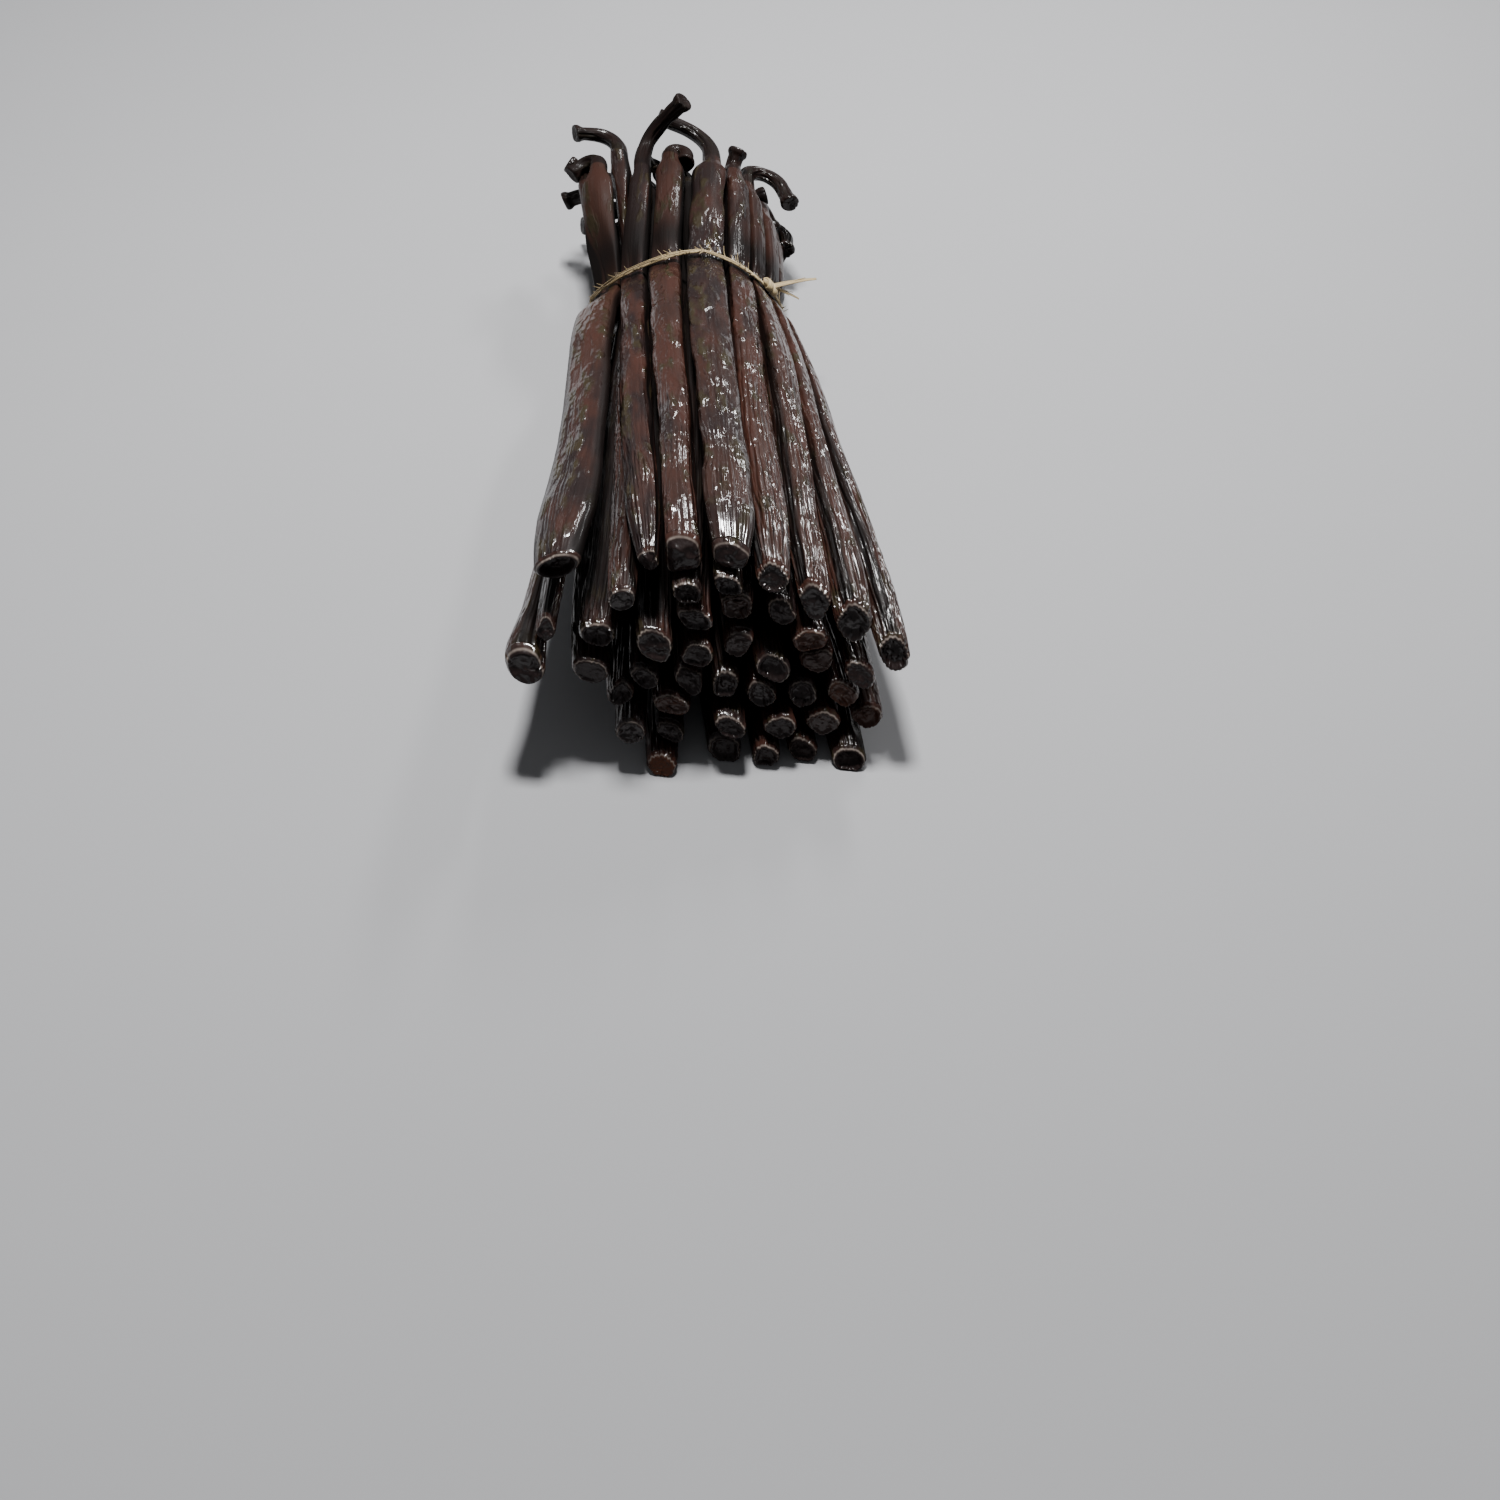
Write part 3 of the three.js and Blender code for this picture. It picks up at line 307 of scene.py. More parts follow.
def ripple(u, v, cells, seed):
    """Smooth noise from -1 to 1 over a plane, made of random heights at whole numbers with an S
    curve between them. It repeats in u after a whole number of cells, so it closes round a pod."""
    rows = 97
    heights = np.random.default_rng(seed).random((cells, rows)) * 2 - 1
    i, j = np.floor(u).astype(int), np.floor(v).astype(int)
    s, t = smooth(u - i), smooth(v - j)
    a = mix(heights[i % cells, j % rows], heights[(i + 1) % cells, j % rows], s)
    b = mix(heights[i % cells, (j + 1) % rows], heights[(i + 1) % cells, (j + 1) % rows], s)
    return mix(a, b, t)


def reach(half, angle, way):
    """How far an ellipse with half sizes half, turned by angle, reaches in the direction way."""
    c, s = np.cos(angle), np.sin(angle)
    x, z = way[..., 0], way[..., 1]
    return np.hypot(half[..., 0] * (x * c + z * s), half[..., 1] * (z * c - x * s))


def shear(x, z):
    """How far a point slides towards the fan: more when higher and further right."""
    return LEAN * (z - WAIST_UP) + SLANT * x


def placed(x, y, z):
    """Points of the layout in metres in the part's frame, slid towards the fan by the shear."""
    points = np.stack(np.broadcast_arrays(x, y - shear(x, z), z), axis=-1)
    return (points + LAYOUT_ORIGIN) * MM


# ---- The waist ----------------------------------------------------------------------------------
def waist_sides():
    """Directions round the waist, and how far its outline reaches in each: the support function of
    the rounded diamond |x / half width|^n + |z / half height|^n = 1, skewed to the right."""
    angle = np.arange(WAIST_DIRECTIONS) * 2 * np.pi / WAIST_DIRECTIONS
    way = np.stack([np.cos(angle), np.sin(angle)], axis=-1)
    dual = WAIST_ROUND / (WAIST_ROUND - 1)
    wide = np.abs(WAIST_HALF_WIDTH * way[:, 0]) ** dual
    high = np.abs(WAIST_HALF_HEIGHT * (way[:, 1] + WAIST_SKEW * way[:, 0])) ** dual
    return way, way[:, 0] * WAIST_ACROSS + way[:, 1] * WAIST_UP + (wide + high) ** (1 / dual)


SIDES, SIDE_REACH = waist_sides()


def waist_point(angle, out):
    """A point (across, up) of the waist's outline, moved out square to it, and that square way. The
    point is (half width cos^(2/n), half height sin^(2/n)) of the angle, skewed to the right."""
    c, s = np.cos(angle), np.sin(angle)
    x = WAIST_HALF_WIDTH * np.sign(c) * np.abs(c) ** (2 / WAIST_ROUND)
    z = WAIST_HALF_HEIGHT * np.sign(s) * np.abs(s) ** (2 / WAIST_ROUND)
    power = 2 / WAIST_ROUND * (WAIST_ROUND - 1)
    square_x = np.sign(c) * np.abs(c) ** power / WAIST_HALF_WIDTH
    square_z = np.sign(s) * np.abs(s) ** power / WAIST_HALF_HEIGHT - WAIST_SKEW * square_x
    length = np.hypot(square_x, square_z)
    square = np.stack([square_x / length, square_z / length], axis=-1)
    place = np.stack([WAIST_ACROSS + x + WAIST_SKEW * z, WAIST_UP + z], axis=-1)
    return place + square * np.expand_dims(out, -1), square


def waist_top(across):
    """Height of the waist's top at a place across, by halving."""
    low, high = 0.0, np.pi
    for _ in range(WAIST_HALVINGS):
        angle = (low + high) / 2
        if waist_point(angle, 0.0)[0][0] > across:
            low = angle
        else:
            high = angle
    return waist_point(low, 0.0)[0][1]


def widening(station):
    """Room that the pods gain away from the tie."""
    return WAIST_WIDENING * np.maximum(0, np.abs(station - TIE_AT) - TIE_LAND)


# ---- Where the pods lie ---------------------------------------------------------------------------
def spread(place, half, lie, free, rounds, hold):
    """Pushes ellipses that overlap apart along the line between their middles, a quarter of the
    overlap each per round, and keeps the free ones in with hold()."""
    for _ in range(rounds):
        line = place[None] - place[:, None]
        apart = np.hypot(line[..., 0], line[..., 1]) + 1e-9
        way = line / apart[..., None]
        mine = reach(half[:, None], lie[:, None], way)
        theirs = reach(half[None], lie[None], way)
        overlap = np.maximum(mine + theirs - apart, 0)
        np.fill_diagonal(overlap, 0)
        move = (-PUSH * overlap[..., None] * way).sum(axis=1)
        place[free] = hold(place[free] + move[free])


def drawn_pods(draw):
    """Every pod's width, tip, place at the tie, thickness, tilt, neck, slant and wander: from the
    table for the pods on top, and drawn for the rest."""
    fan = [tip[:2] for tip, *_ in SHOWN_PODS]
    set_back = [tip[2] for tip, *_ in SHOWN_PODS]
    tie = [(at[0], waist_top(at[0]) - TOP_DEPTH - at[1]) for _, at, *_ in SHOWN_PODS]
    width = [w for *_, w, _ in SHOWN_PODS]
    for x, z in FACE_PODS:
        fan.append((x, z))
        set_back.append(FACE_SLOPE * z + draw.between(*FACE_SCATTER))
        width.append(BODY_WIDTH * draw.between(*BODY_VARIES))
        across, up = (x - FACE_MIDDLE[0]) * SQUEEZE[0], (z - FACE_MIDDLE[1]) * SQUEEZE[1]
        tie.append((WAIST_ACROSS + across, WAIST_UP + up))
    count = len(fan)
    shown = np.arange(count) < len(SHOWN_PODS)
    pods = SimpleNamespace(count=count, shown=shown, width=np.array(width), set_back=np.array(set_back))
    pods.fan, pods.tie = np.array(fan, float), np.array(tie, float)
    pods.under = np.array([shown[k] and SHOWN_PODS[k][1][1] > 0 for k in range(count)])
    pods.end = np.array([ENDS.get(k, TIP_END) for k in range(count)])
    pods.bulge = np.array([BULGES.get(k, 0) for k in range(count)])
    pods.bend = np.array([BENDS.get(k, 0) for k in range(count)])
    pods.flare = np.array([FLARES.get(k, 1) for k in range(count)])
    pods.flat, pods.lie, pods.neck_at, pods.slant, pods.phase, pods.wander = np.zeros((6, count))
    for k in range(count):
        thinner = WIDE_THINNER if width[k] > WIDE_FROM else 1
        pods.flat[k] = FLATNESS * draw.between(*FLATNESS_VARIES) * thinner
        away = pods.fan[k] - FACE_MIDDLE
        pods.lie[k] = np.arctan2(away[1], away[0]) - np.pi / 2 if shown[k] else draw.between(-TILT, TILT)
        pods.neck_at[k] = NECK_AT + draw.between(-NECK_SOONER, NECK_LATER)
        pods.slant[k] = draw.between(*TIP_SLANT)
        pods.phase[k] = draw.between(0, 2 * np.pi)
        pods.wander[k] = draw.between(*WANDER)
    for k, angle in LIES.items():
        pods.lie[k] = np.radians(angle)
    return pods


def make_pods():
    """The middle and half sizes of every pod at the fan, at the tie and at its stem, spread until
    they hardly overlap."""
    draw = Draws(SEED)
    pods = drawn_pods(draw)
    shown, inner = pods.shown, ~pods.shown | pods.under
    squeezed = np.where(inner, WAIST_WIDTH / 2, pods.width / 2)
    pods.fan_half = np.stack([pods.width / 2 * pods.flare, pods.width / 2 * pods.flat], axis=-1)
    pods.tie_half = np.stack([squeezed, np.where(shown, TOP_THICKNESS / 2, squeezed * FLATNESS)], axis=-1)

    def above_ground(half):
        lowest = ABOVE_GROUND * half[~shown, 1]
        return lambda place: np.stack([place[:, 0], np.maximum(place[:, 1], lowest)], axis=-1)

    def in_waist(place):
        for way, side in zip(SIDES, SIDE_REACH):
            bite = WAIST_BITE * reach(pods.tie_half[inner], pods.lie[inner], way)
            place = place - np.maximum(0, place @ way + bite - side)[:, None] * way
        return place

    spread(pods.fan, pods.fan_half, pods.lie, ~shown, FAN_ROUNDS, above_ground(pods.fan_half))
    spread(pods.tie, pods.tie_half, pods.lie, inner, TIE_ROUNDS, in_waist)
    pods.stem = np.zeros((pods.count, 2))
    pods.stem[shown] = [stem for _, _, stem, *_ in SHOWN_PODS]
    for k in np.flatnonzero(~shown):
        aside, lift = (draw.between(-most, most) for most in STEM_JITTER)
        pods.stem[k] = pods.tie[k, 0] * STEM_SPREAD + aside, pods.tie[k, 1] * STEM_RISE - STEM_DROP + lift
    half = np.where(shown, STEM_SHARE[0] * pods.width, STEM_WIDTH / 2)
    thick = np.where(shown, STEM_SHARE[1] * pods.width, half * STEM_ROUNDNESS)
    pods.stem_half = np.stack([half, thick], axis=-1)
    spread(pods.stem, pods.stem_half, pods.lie, ~shown, STEM_ROUNDS, above_ground(pods.stem_half))
    pods.tip_at = pods.set_back + shear(pods.fan[:, 0], pods.fan[:, 1])
    choose_hooks(pods, draw)
    return pods


def pods_at(pods, station):
    """Middles and half sizes of all pods at an array of stations. A pod runs straight from the tie
    to its end, but moves out quicker at first by early = (1 - exp(-u / 0.1)) sqrt(1 - u) of the way
    u, because the tie bites into the bundle, and sways by a sine of the way."""
    station = np.asarray(station, float)[None]
    before = station < TIE_AT
    span = np.where(before, TIE_AT, NECK_AT - TIE_AT)
    u = np.clip((np.abs(station - TIE_AT) - TIE_LAND) / (span - TIE_LAND), 0, 1.2)
    early = (1 - np.exp(-u / EARLY_WITHIN)) * np.sqrt(np.maximum(0, 1 - u))
    size = smooth(np.where(before, u / FULL_SIZE_AT[0], u / FULL_SIZE_AT[1]))
    bow = pods.wander[:, None] * np.sin(np.pi * np.clip(u, 0, 1)) * np.where(before, 1, STEM_WANDER)
    neck = np.where(before, 0, smooth((station - pods.neck_at[:, None] + NECK_LENGTH) / NECK_LENGTH))
    end = np.where(before[..., None], pods.fan[:, None], pods.stem[:, None])
    half = np.where(before[..., None], pods.fan_half[:, None], pods.stem_half[:, None])
    fall = smooth((u - SWING_MOST) / (1 - SWING_MOST))
    swing = np.where(before, pods.bend[:, None] * smooth(u / SWING_MOST) * (1 - fall), 0)
    flared = mix(1 / pods.flare[:, None], 1, smooth((u - FLARE_FROM) / (1 - FLARE_FROM)))
    half = half * np.stack([np.where(before, flared, 1), np.ones_like(flared)], axis=-1)
    x = mix(pods.tie[:, :1], end[..., 0], u + (EARLY[0] + pods.bulge[:, None]) * early) + swing
    z = mix(pods.tie[:, 1:], end[..., 1], u + EARLY[1] * early)
    phase = pods.phase[:, None]
    x = x + bow * np.cos(phase + WANDER_TURN[0] * station)
    z = z + WANDER_UP * bow * np.sin(phase + WANDER_TURN[1] * station)
    half = mix(mix(pods.tie_half[:, None], half, size[..., None]), NECK_RADIUS, neck[..., None])
    return np.stack([x, z], axis=-1), half


def hook_line(pods, k, hook, steps):
    """The hook's middle line and how far it has turned: it runs on along Y for a little, turns
    towards its curl by an S curve of its length and runs out straight."""

    def turned(share):
        return turn * smooth((share - HOOK_TURNS_FROM) / HOOK_TURNS_OVER)

    curl, turn, length = hook
    start = pods_at(pods, [pods.neck_at[k]])[0][k, 0]
    middle = turned((np.arange(steps) + 0.5) / steps)
    y = np.concatenate([[0], np.cumsum(np.cos(middle))]) * length / steps
    out = np.concatenate([[0], np.cumsum(np.sin(middle))]) * length / steps
    x, z = start[0] + out * np.cos(curl), start[1] + out * np.sin(curl)
    return np.stack([x, pods.neck_at[k] + y, z], axis=-1), turned(np.arange(steps + 1) / steps)


def choose_hooks(pods, draw):
    """Each hook of the rows tries a few ways to curl and keeps the one that stays clearest of the
    hooks made before it, of the ground and of its ceiling."""
    made = np.zeros((0, 3))
    pods.hooks = []
    for k in range(pods.count):
        stem = pods.stem[k]
        outward = np.arctan2(max(stem[1] - HOOKS_OUT_FROM, 0.5), stem[0])
        best = None
        for _ in range(1 if pods.shown[k] else HOOK_TRIES):
            curl = outward + np.radians(draw.between(-HOOK_SWING, HOOK_SWING))
            hook = curl, np.radians(draw.between(*HOOK_TURN)), draw.between(*HOOK_LENGTH)
            if pods.shown[k]:
                curl, turn, length = SHOWN_PODS[k][4]
                hook = np.radians(curl), np.radians(turn), length
            points = hook_line(pods, k, hook, 6)[0]
            ground = 2 * (points[:, 2] - SCAR_RADIUS - HOOK_FLOOR)
            clear = min(HOOK_CLEAR, ground.min(), (HOOK_CEILING - points[:, 2]).min())
            if len(made):
                clear = min(clear, np.linalg.norm(points[:, None] - made[None], axis=-1).min())
            if best is None or clear > best[0]:
                best = clear, hook, points
        pods.hooks.append(best[1])
        made = np.concatenate([made, best[2]])


def radius_at(pods, k, station, angle):
    """A pod's radius at stations (rows) in directions (columns): its own ellipse, cut by the lines
    half way to its neighbours, by the waist and by the ground. The cuts are blended as a sum of
    ninth powers, so corners are round."""
    middle, half = pods_at(pods, station)
    x, z = middle[k, :, None, 0], middle[k, :, None, 1]
    cx, cz = np.cos(angle)[None], np.sin(angle)[None]
    c = np.cos(angle[None] - pods.lie[k]) / half[k, :, None, 0]
    s = np.sin(angle[None] - pods.lie[k]) / half[k, :, None, 1]
    total = np.hypot(c, s) ** BLEND
    present = np.clip((station[None] - pods.tip_at[:, None]) / FADE_AHEAD + 1, 0, 1)
    for j in range(pods.count):
        line = middle[j] - middle[k]
        apart = np.hypot(line[:, 0], line[:, 1])
        near = apart <= NEIGHBOUR_WITHIN
        if j == k or not near.any():
            continue
        way = line / apart[:, None]
        mine = reach(half[k], pods.lie[k], way)
        theirs = reach(half[j], pods.lie[j], way)
        room = np.maximum(LEAST_ROOM, apart * mine / (mine + theirs) - GAP / 2)
        facing = cx * way[:, :1] + cz * way[:, 1:]
        share = (present[j] * near / room)[:, None] * facing
        total = total + np.where(facing > 0.05, share, 0) ** BLEND
    waist = np.zeros_like(total)
    for way, side in zip(SIDES, SIDE_REACH):
        room = side + widening(station)[:, None] - x * way[0] - z * way[1]
        waist = np.maximum(waist, (cx * way[0] + cz * way[1]) / np.maximum(room, LEAST_ROOM))
    radius = (total + waist**BLEND) ** (-1 / BLEND)
    return np.where(cz < 0, np.minimum(radius, z / np.maximum(-cz, 1e-9)), radius)


# ---- A pod's surface ------------------------------------------------------------------------------
def valleys(noise, width):
    """1 in the bottom of a sharp valley where a noise passes through zero, 0 beyond its width."""
    return np.clip(1 - np.abs(noise) / width, 0, 1) ** 1.4


def crests(phase):
    """Round ridges parted by sharp valleys, one per unit of phase: |sin(pi phase)| ^ 0.8."""
    return np.abs(np.sin(np.pi * phase)) ** 0.8


def pod_smoothness(pods, k, station):
    """1 where a swollen tip has pulled the skin smooth and wet, fading out along the pod."""
    fading = 1 - smooth((station - pods.tip_at[k] - SMOOTH_LENGTH) / SMOOTH_FADE)
    return np.minimum(1, SMOOTH_TIPS.get(k, 0) * fading)


def pod_relief(pods, k, station, angle, settings):
    """How deep the skin lies under the plain form, how much painted shade it gets, and how strongly it
    is wrinkled.

    The relief is lengthwise ridges and a finer set between them, both swaying from side to side,
    pleats that draw in to the tip, short puckers, slow hollows, lumps on the upper side, and sides
    that fall away with the square of the way to them. Ridges fade from the tip by the bell curve
    of the distance, and pleats by exp(-distance / length). Painted shade darkens the narrow bottom
    of a furrow or pleat, the sides where a pod on top meets its neighbours, and all that lies deep
    in the bundle."""
    girth = np.pi * pods.fan_half[k].sum()
    ridges = max(FEWEST_RIDGES, int(round(girth / (settings.ridge_spacing / MM))))
    turn = np.broadcast_to(angle[None] / (2 * np.pi), (len(station), len(angle)))
    along = np.broadcast_to(station[:, None] + POD_OFFSET * k, turn.shape)
    from_tip = np.maximum(station[:, None] - pods.tip_at[k], 0)
    rough = 1 - pod_smoothness(pods, k, station)[:, None]
    ribbed = k in FLANK_PODS or not pods.shown[k]

    def noise(name, shift=0.0):
        waves, length, seed = RIPPLES[name]
        waves = waves or ridges
        return ripple(turn * waves + shift, along / length, waves, seed + k)

    sway = 1.1 * noise("sway") + 0.45 * noise("wobble")
    main = crests(turn * ridges + sway)
    fine = crests(turn * 2 * ridges + 1.7 * sway + 0.5 * noise("weave"))
    strong = smooth(0.55 + 0.8 * noise("strength"))
    pleat = np.exp(-from_tip / PLEATS_FADE) * valleys(noise("pleat", 0.3 * sway), 0.6)
    pucker = 0.5 + 0.5 * noise("pucker", 0.8 * sway)
    hollow = smooth(0.5 + 0.8 * noise("hollow"))
    lump = smooth(0.5 + 0.9 * noise("lump")) * smooth(0.5 + np.sin(angle))

    at_tip = 1.0 if ribbed else SHALLOW_RIDGES.get(k, RIDGES_AT_TIP)
    share = at_tip * mix(RIDGES_BEHIND, 1.0, bell(from_tip, RIDGES_FADE))
    share = share * mix(0.15, 1.0, rough) * mix(0.4, 1.0, smooth(from_tip / RIM_FADE))
    furrow = (1 - main) * mix(0.35, 1.0, strong) + 0.35 * (1 - fine)
    relief = settings.ridge_depth / MM * (RIBS if ribbed else 1.0) * share * furrow
    relief = relief + PLEAT_DEPTH * rough * pleat + PUCKER_DEPTH * pucker + HOLLOW_DEPTH * hollow
    relief = relief + (RIBBED_LUMP_DEPTH if ribbed else LUMP_DEPTH) * lump
    # Painted shade in the narrow bottoms of the furrows and pleats.
    shade_and_dull = share * (1.1 * (1 - main) ** 3 + 0.3 * (1 - fine) ** 3) + 0.3 * pleat
    # Painted shade on the sides of a pod on top, where it meets its neighbours.
    if pods.shown[k]:
        side = np.abs(np.cos(angle - pods.lie[k]))[None]
        relief = relief + SIDES_SUNK * pods.width[k] * side**2
        painted_shade = smooth((side - SIDE_SHADE_FROM) / (1 - SIDE_SHADE_FROM))
    else:
        # Painted shade on the bodies of pods deep in the bundle.
        painted_shade = smooth((BURIED_WITHIN - np.abs(pods.fan[k, 0])) / BURIED_FADE)
        painted_shade = painted_shade * smooth((from_tip - BURIED_FROM) / BURIED_OVER)
    return relief, np.clip(shade_and_dull + 0.85 * painted_shade, 0, 1), np.broadcast_to(share, turn.shape)


def pod_body(pods, k, rings, angle, settings):
    """The body, with its rows crowded towards the tip: at each station the section less its
    relief, drawn in towards the tip by the end's width and thickness and by uneven lobes, laid back
    by the slant of its cut and drooping a little. Places across and up are from the middle."""
    edge, _, _, droop = POD_TIPS[k]
    tip, neck = pods.tip_at[k], pods.neck_at[k]
    t = np.linspace(0, 1, rings)
    station = tip + edge + (neck - tip - edge) * mix(t**ROWS_POWER, t, ROWS_EVEN)
    relief, shade_and_dull, ribbed = pod_relief(pods, k, station, angle, settings)
    leaving = smooth((neck - station) / RELIEF_ENDS_OVER)[:, None]
    radius = np.maximum(radius_at(pods, k, station, angle) - relief * leaving, 0.3)
    middle = pods_at(pods, station)[0][k]
    middle[:, 1] -= droop * (1 - np.clip((station - tip) / DROOP_OVER, 0, 1)) ** 2

    ahead = np.clip((station - tip - TIP_EDGE) / (TIP_TAPER - TIP_EDGE), 0, 1)[:, None]
    wide, thick = (mix(end, 1.0, 1 - (1 - ahead) ** 1.5) for end in pods.end[k])
    wide = wide * radius * np.cos(angle - pods.lie[k])
    thick = thick * radius * np.sin(angle - pods.lie[k])
    turn = (angle + np.pi / 2) / (2 * np.pi)
    lobes = ripple(turn * LOBES, np.full(len(angle), 0.5 + k), LOBES, 600 + k)[None]
    uneven = mix(1 + LOBE_SIZE * lobes, 1, ahead)
    c, s = np.cos(pods.lie[k]), np.sin(pods.lie[k])
    across, up = uneven * (wide * c - thick * s), uneven * (wide * s + thick * c)
    up = np.maximum(up, -middle[:, 1:])
    laid = pods.slant[k] * (1 - smooth((station - tip) / TIP_TAPER))[:, None]
    return SimpleNamespace(station=station, middle=middle, across=across, up=up, laid=laid,
                           radius=radius, shade_and_dull=shade_and_dull, ribbed=ribbed)


def cut_depth(k, share, angle):
    """How far a cut face lies behind its foremost place. The rounded edge follows (share of the
    radius)^p + (depth)^p = 1, so that a low p makes a ball and a high one a blunt cut. Inside it
    are a slight lip, a shallow dish, and folds that fade towards the rim."""
    edge, power, dish, _ = POD_TIPS[k]
    u, v = (FOLDS * share * way + 40 for way in (np.cos(angle), np.sin(angle)))
    folds = FOLD_DEPTH * ripple(u, v, FOLD_CELLS, 800 + k) * (1 - smooth((share - FOLDS_FROM) / FOLDS_OVER))
    rounded = edge * (1 - (1 - share**power) ** (1 / power))
    dished = dish * (1 - smooth((share - DISH_FROM) / DISH_OVER))
    return rounded + dished + folds - LIP_HEIGHT * dish * bell(share - LIP_AT, LIP_WIDTH)


def pod_hook(pods, k, rings, angle, start):
    """The hook: circles square to its middle line, which shrink from the body's last ring to the
    stub and flare at the end, with a few wrinkles along them, and the rings of the scar."""
    curl, _, length = pods.hooks[k]
    c, s = np.cos(curl), np.sin(curl)
    line, turned = (each[1:] for each in hook_line(pods, k, pods.hooks[k], rings))
    t = (np.arange(1, rings + 1) / rings)[:, None]
    around = angle[None] - np.arctan2(-c, s)
    flare = smooth((t * length - length + SCAR_FLARE_FROM) / SCAR_FLARE_OVER)
    stub = mix(mix(NECK_RADIUS, STUB_RADIUS, np.minimum(1, 2 * t)), SCAR_RADIUS, flare)
    u, v = around / (2 * np.pi) * HOOK_WRINKLES, t * length / HOOK_WRINKLE_LENGTH + k
    wrinkle = HOOK_WRINKLE_DEPTH * valleys(ripple(u, v, HOOK_WRINKLES, 850 + k), 0.5)
    stub = mix(start, stub - wrinkle, smooth(t / HOOK_BLEND))
    side = np.array([s, 0, -c])
    inward = np.stack([c * np.cos(turned), -np.sin(turned), s * np.cos(turned)], axis=-1)
    ring = np.cos(around)[..., None] * side + np.sin(around)[..., None] * inward[:, None]
    bend = line[:, None] + stub[..., None] * ring
    onward = np.array([c * np.sin(turned[-1]), np.cos(turned[-1]), s * np.sin(turned[-1])])
    shrink, out = np.array([SCAR_RINGS, SCAR_OUT])[:, :, None, None]
    scar = line[-1] + shrink * stub[-1:, :, None] * ring[-1:] + out * onward
    return np.concatenate([bend, scar]), t[:, 0] * length


def pod_tone(pods, k, station):
    """A pod's brownness, redness and wetness along its body. It is wetter and darker where the skin
    is smooth and at its wet places, and drier on the stem."""
    wet = pod_smoothness(pods, k, station)
    for place, length in WET_PLACES.get(k, ()):
        wet = wet + 0.85 * bell(station - place, length)
    tone = np.tile(POD_TONES[k], (len(station), 1))
    tone[:, 0] += BROWNER_UP.get(k, 0) * (smooth((station - BROWNER_FROM) / BROWNER_OVER) - 0.5)
    tone[:, 0] -= 0.35 * wet
    tone[:, 2] += wet - 0.5 * on_stem(station)
    return tone[:, None]


def on_stem(station):
    """0 up to the tie, going to 1 on the stem."""
    return smooth((station - TIE_AT + 2) / DULL_STEMS_OVER)


def pod_surface(pods, k, grid, settings):
    """One pod as a grid of points with its skin data. Rows run from the middle of the cut face,
    over its rounded edge, along the body and round the hook to the scar, and columns round the
    pod, from underneath."""
    face, body_rings, hook, around = grid
    angle = (np.arange(around) + 0.5) * 2 * np.pi / around - np.pi / 2
    body = pod_body(pods, k, body_rings, angle, settings)
    share = 1 - (1 - np.linspace(0, 1, face, endpoint=False)[:, None]) ** FACE_POWER
    tip = pods.tip_at[k]
    face_y = tip + cut_depth(k, share, angle) + body.laid[:1] * share * body.up[:1]
    bend, run = pod_hook(pods, k, hook, angle, body.radius[-1:])

    across = np.concatenate([share * body.across[:1], body.across])
    up = np.concatenate([share * body.up[:1], body.up])
    middle = np.concatenate([np.repeat(body.middle[:1], face, axis=0), body.middle])
    x = np.concatenate([middle[:, :1] + across, bend[..., 0]])
    y = np.concatenate([face_y, body.station[:, None] + body.laid * body.up, bend[..., 1]])
    z = np.concatenate([middle[:, 1:] + up, bend[..., 2]])
    points = placed(x, y, np.maximum(z, PRESSED))

    # Grain: a place on a cylinder, so that patterns run along the pod, and in the cut face towards
    # its middle.
    scar = np.full(len(SCAR_RINGS), pods.neck_at[k] + pods.hooks[k][2] + 0.5)
    path = np.concatenate([np.full(face, tip), body.station, pods.neck_at[k] + run, scar])[:, None]
    out = np.ones((len(x), 1))
    out[:face] = share
    out = GRAIN_RADIUS * out
    grain = np.stack(np.broadcast_arrays(
        out * np.cos(angle) + GRAIN_OFFSET[0] * k, out * np.sin(angle), path + GRAIN_OFFSET[1] * k), axis=-1)

    skin = slice(face, face + body_rings)
    marks = np.zeros((len(x), around, 3))
    # A band of darker, duller skin above the tie and on the stem, in the same mark as painted shade.
    dull = 0.3 * on_stem(body.station)
    if k != WIDEST:
        dull = dull + 0.8 * bell(body.station - DULL_AT, DULL_LENGTH)
    marks[skin, :, 0] = body.shade_and_dull + dull[:, None]
    # The hooks and scars: darker and duller, through the same mark.
    marks[skin.stop :, :, 0] = 0.8
    marks[:face, :, 1] = 1 - smooth((share - RIM_FROM) / RIM_OVER)
    marks[skin, :, 2] = body.ribbed + 0.5 * pod_smoothness(pods, k, body.station)[:, None]
    tone = np.tile(POD_TONES[k], (len(x), around, 1))
    tone[skin] = pod_tone(pods, k, body.station)
    if not pods.shown[k]:
        tone[..., 2] -= 0.6 * (1 - smooth(pods.fan[k, 1] / 12))
    return points, {"grain": grain * MM, "marks": marks, "tone": tone}


def pod_looks():
    """The tone and the tip of every pod: from the table for those on top, and drawn for the rest,
    which are darker."""
    draw = Draws(SEED + 7)
    looks = [[draw.between(*limits) for limits in LOOK_RANGES] for _ in SHOWN_PODS + FACE_PODS]
    looks[: len(SHOWN_LOOKS)] = [tone + tip for tone, tip in SHOWN_LOOKS]
    return np.array(looks)[:, :3], np.array(looks)[:, 3:]


POD_TONES, POD_TIPS = pod_looks()


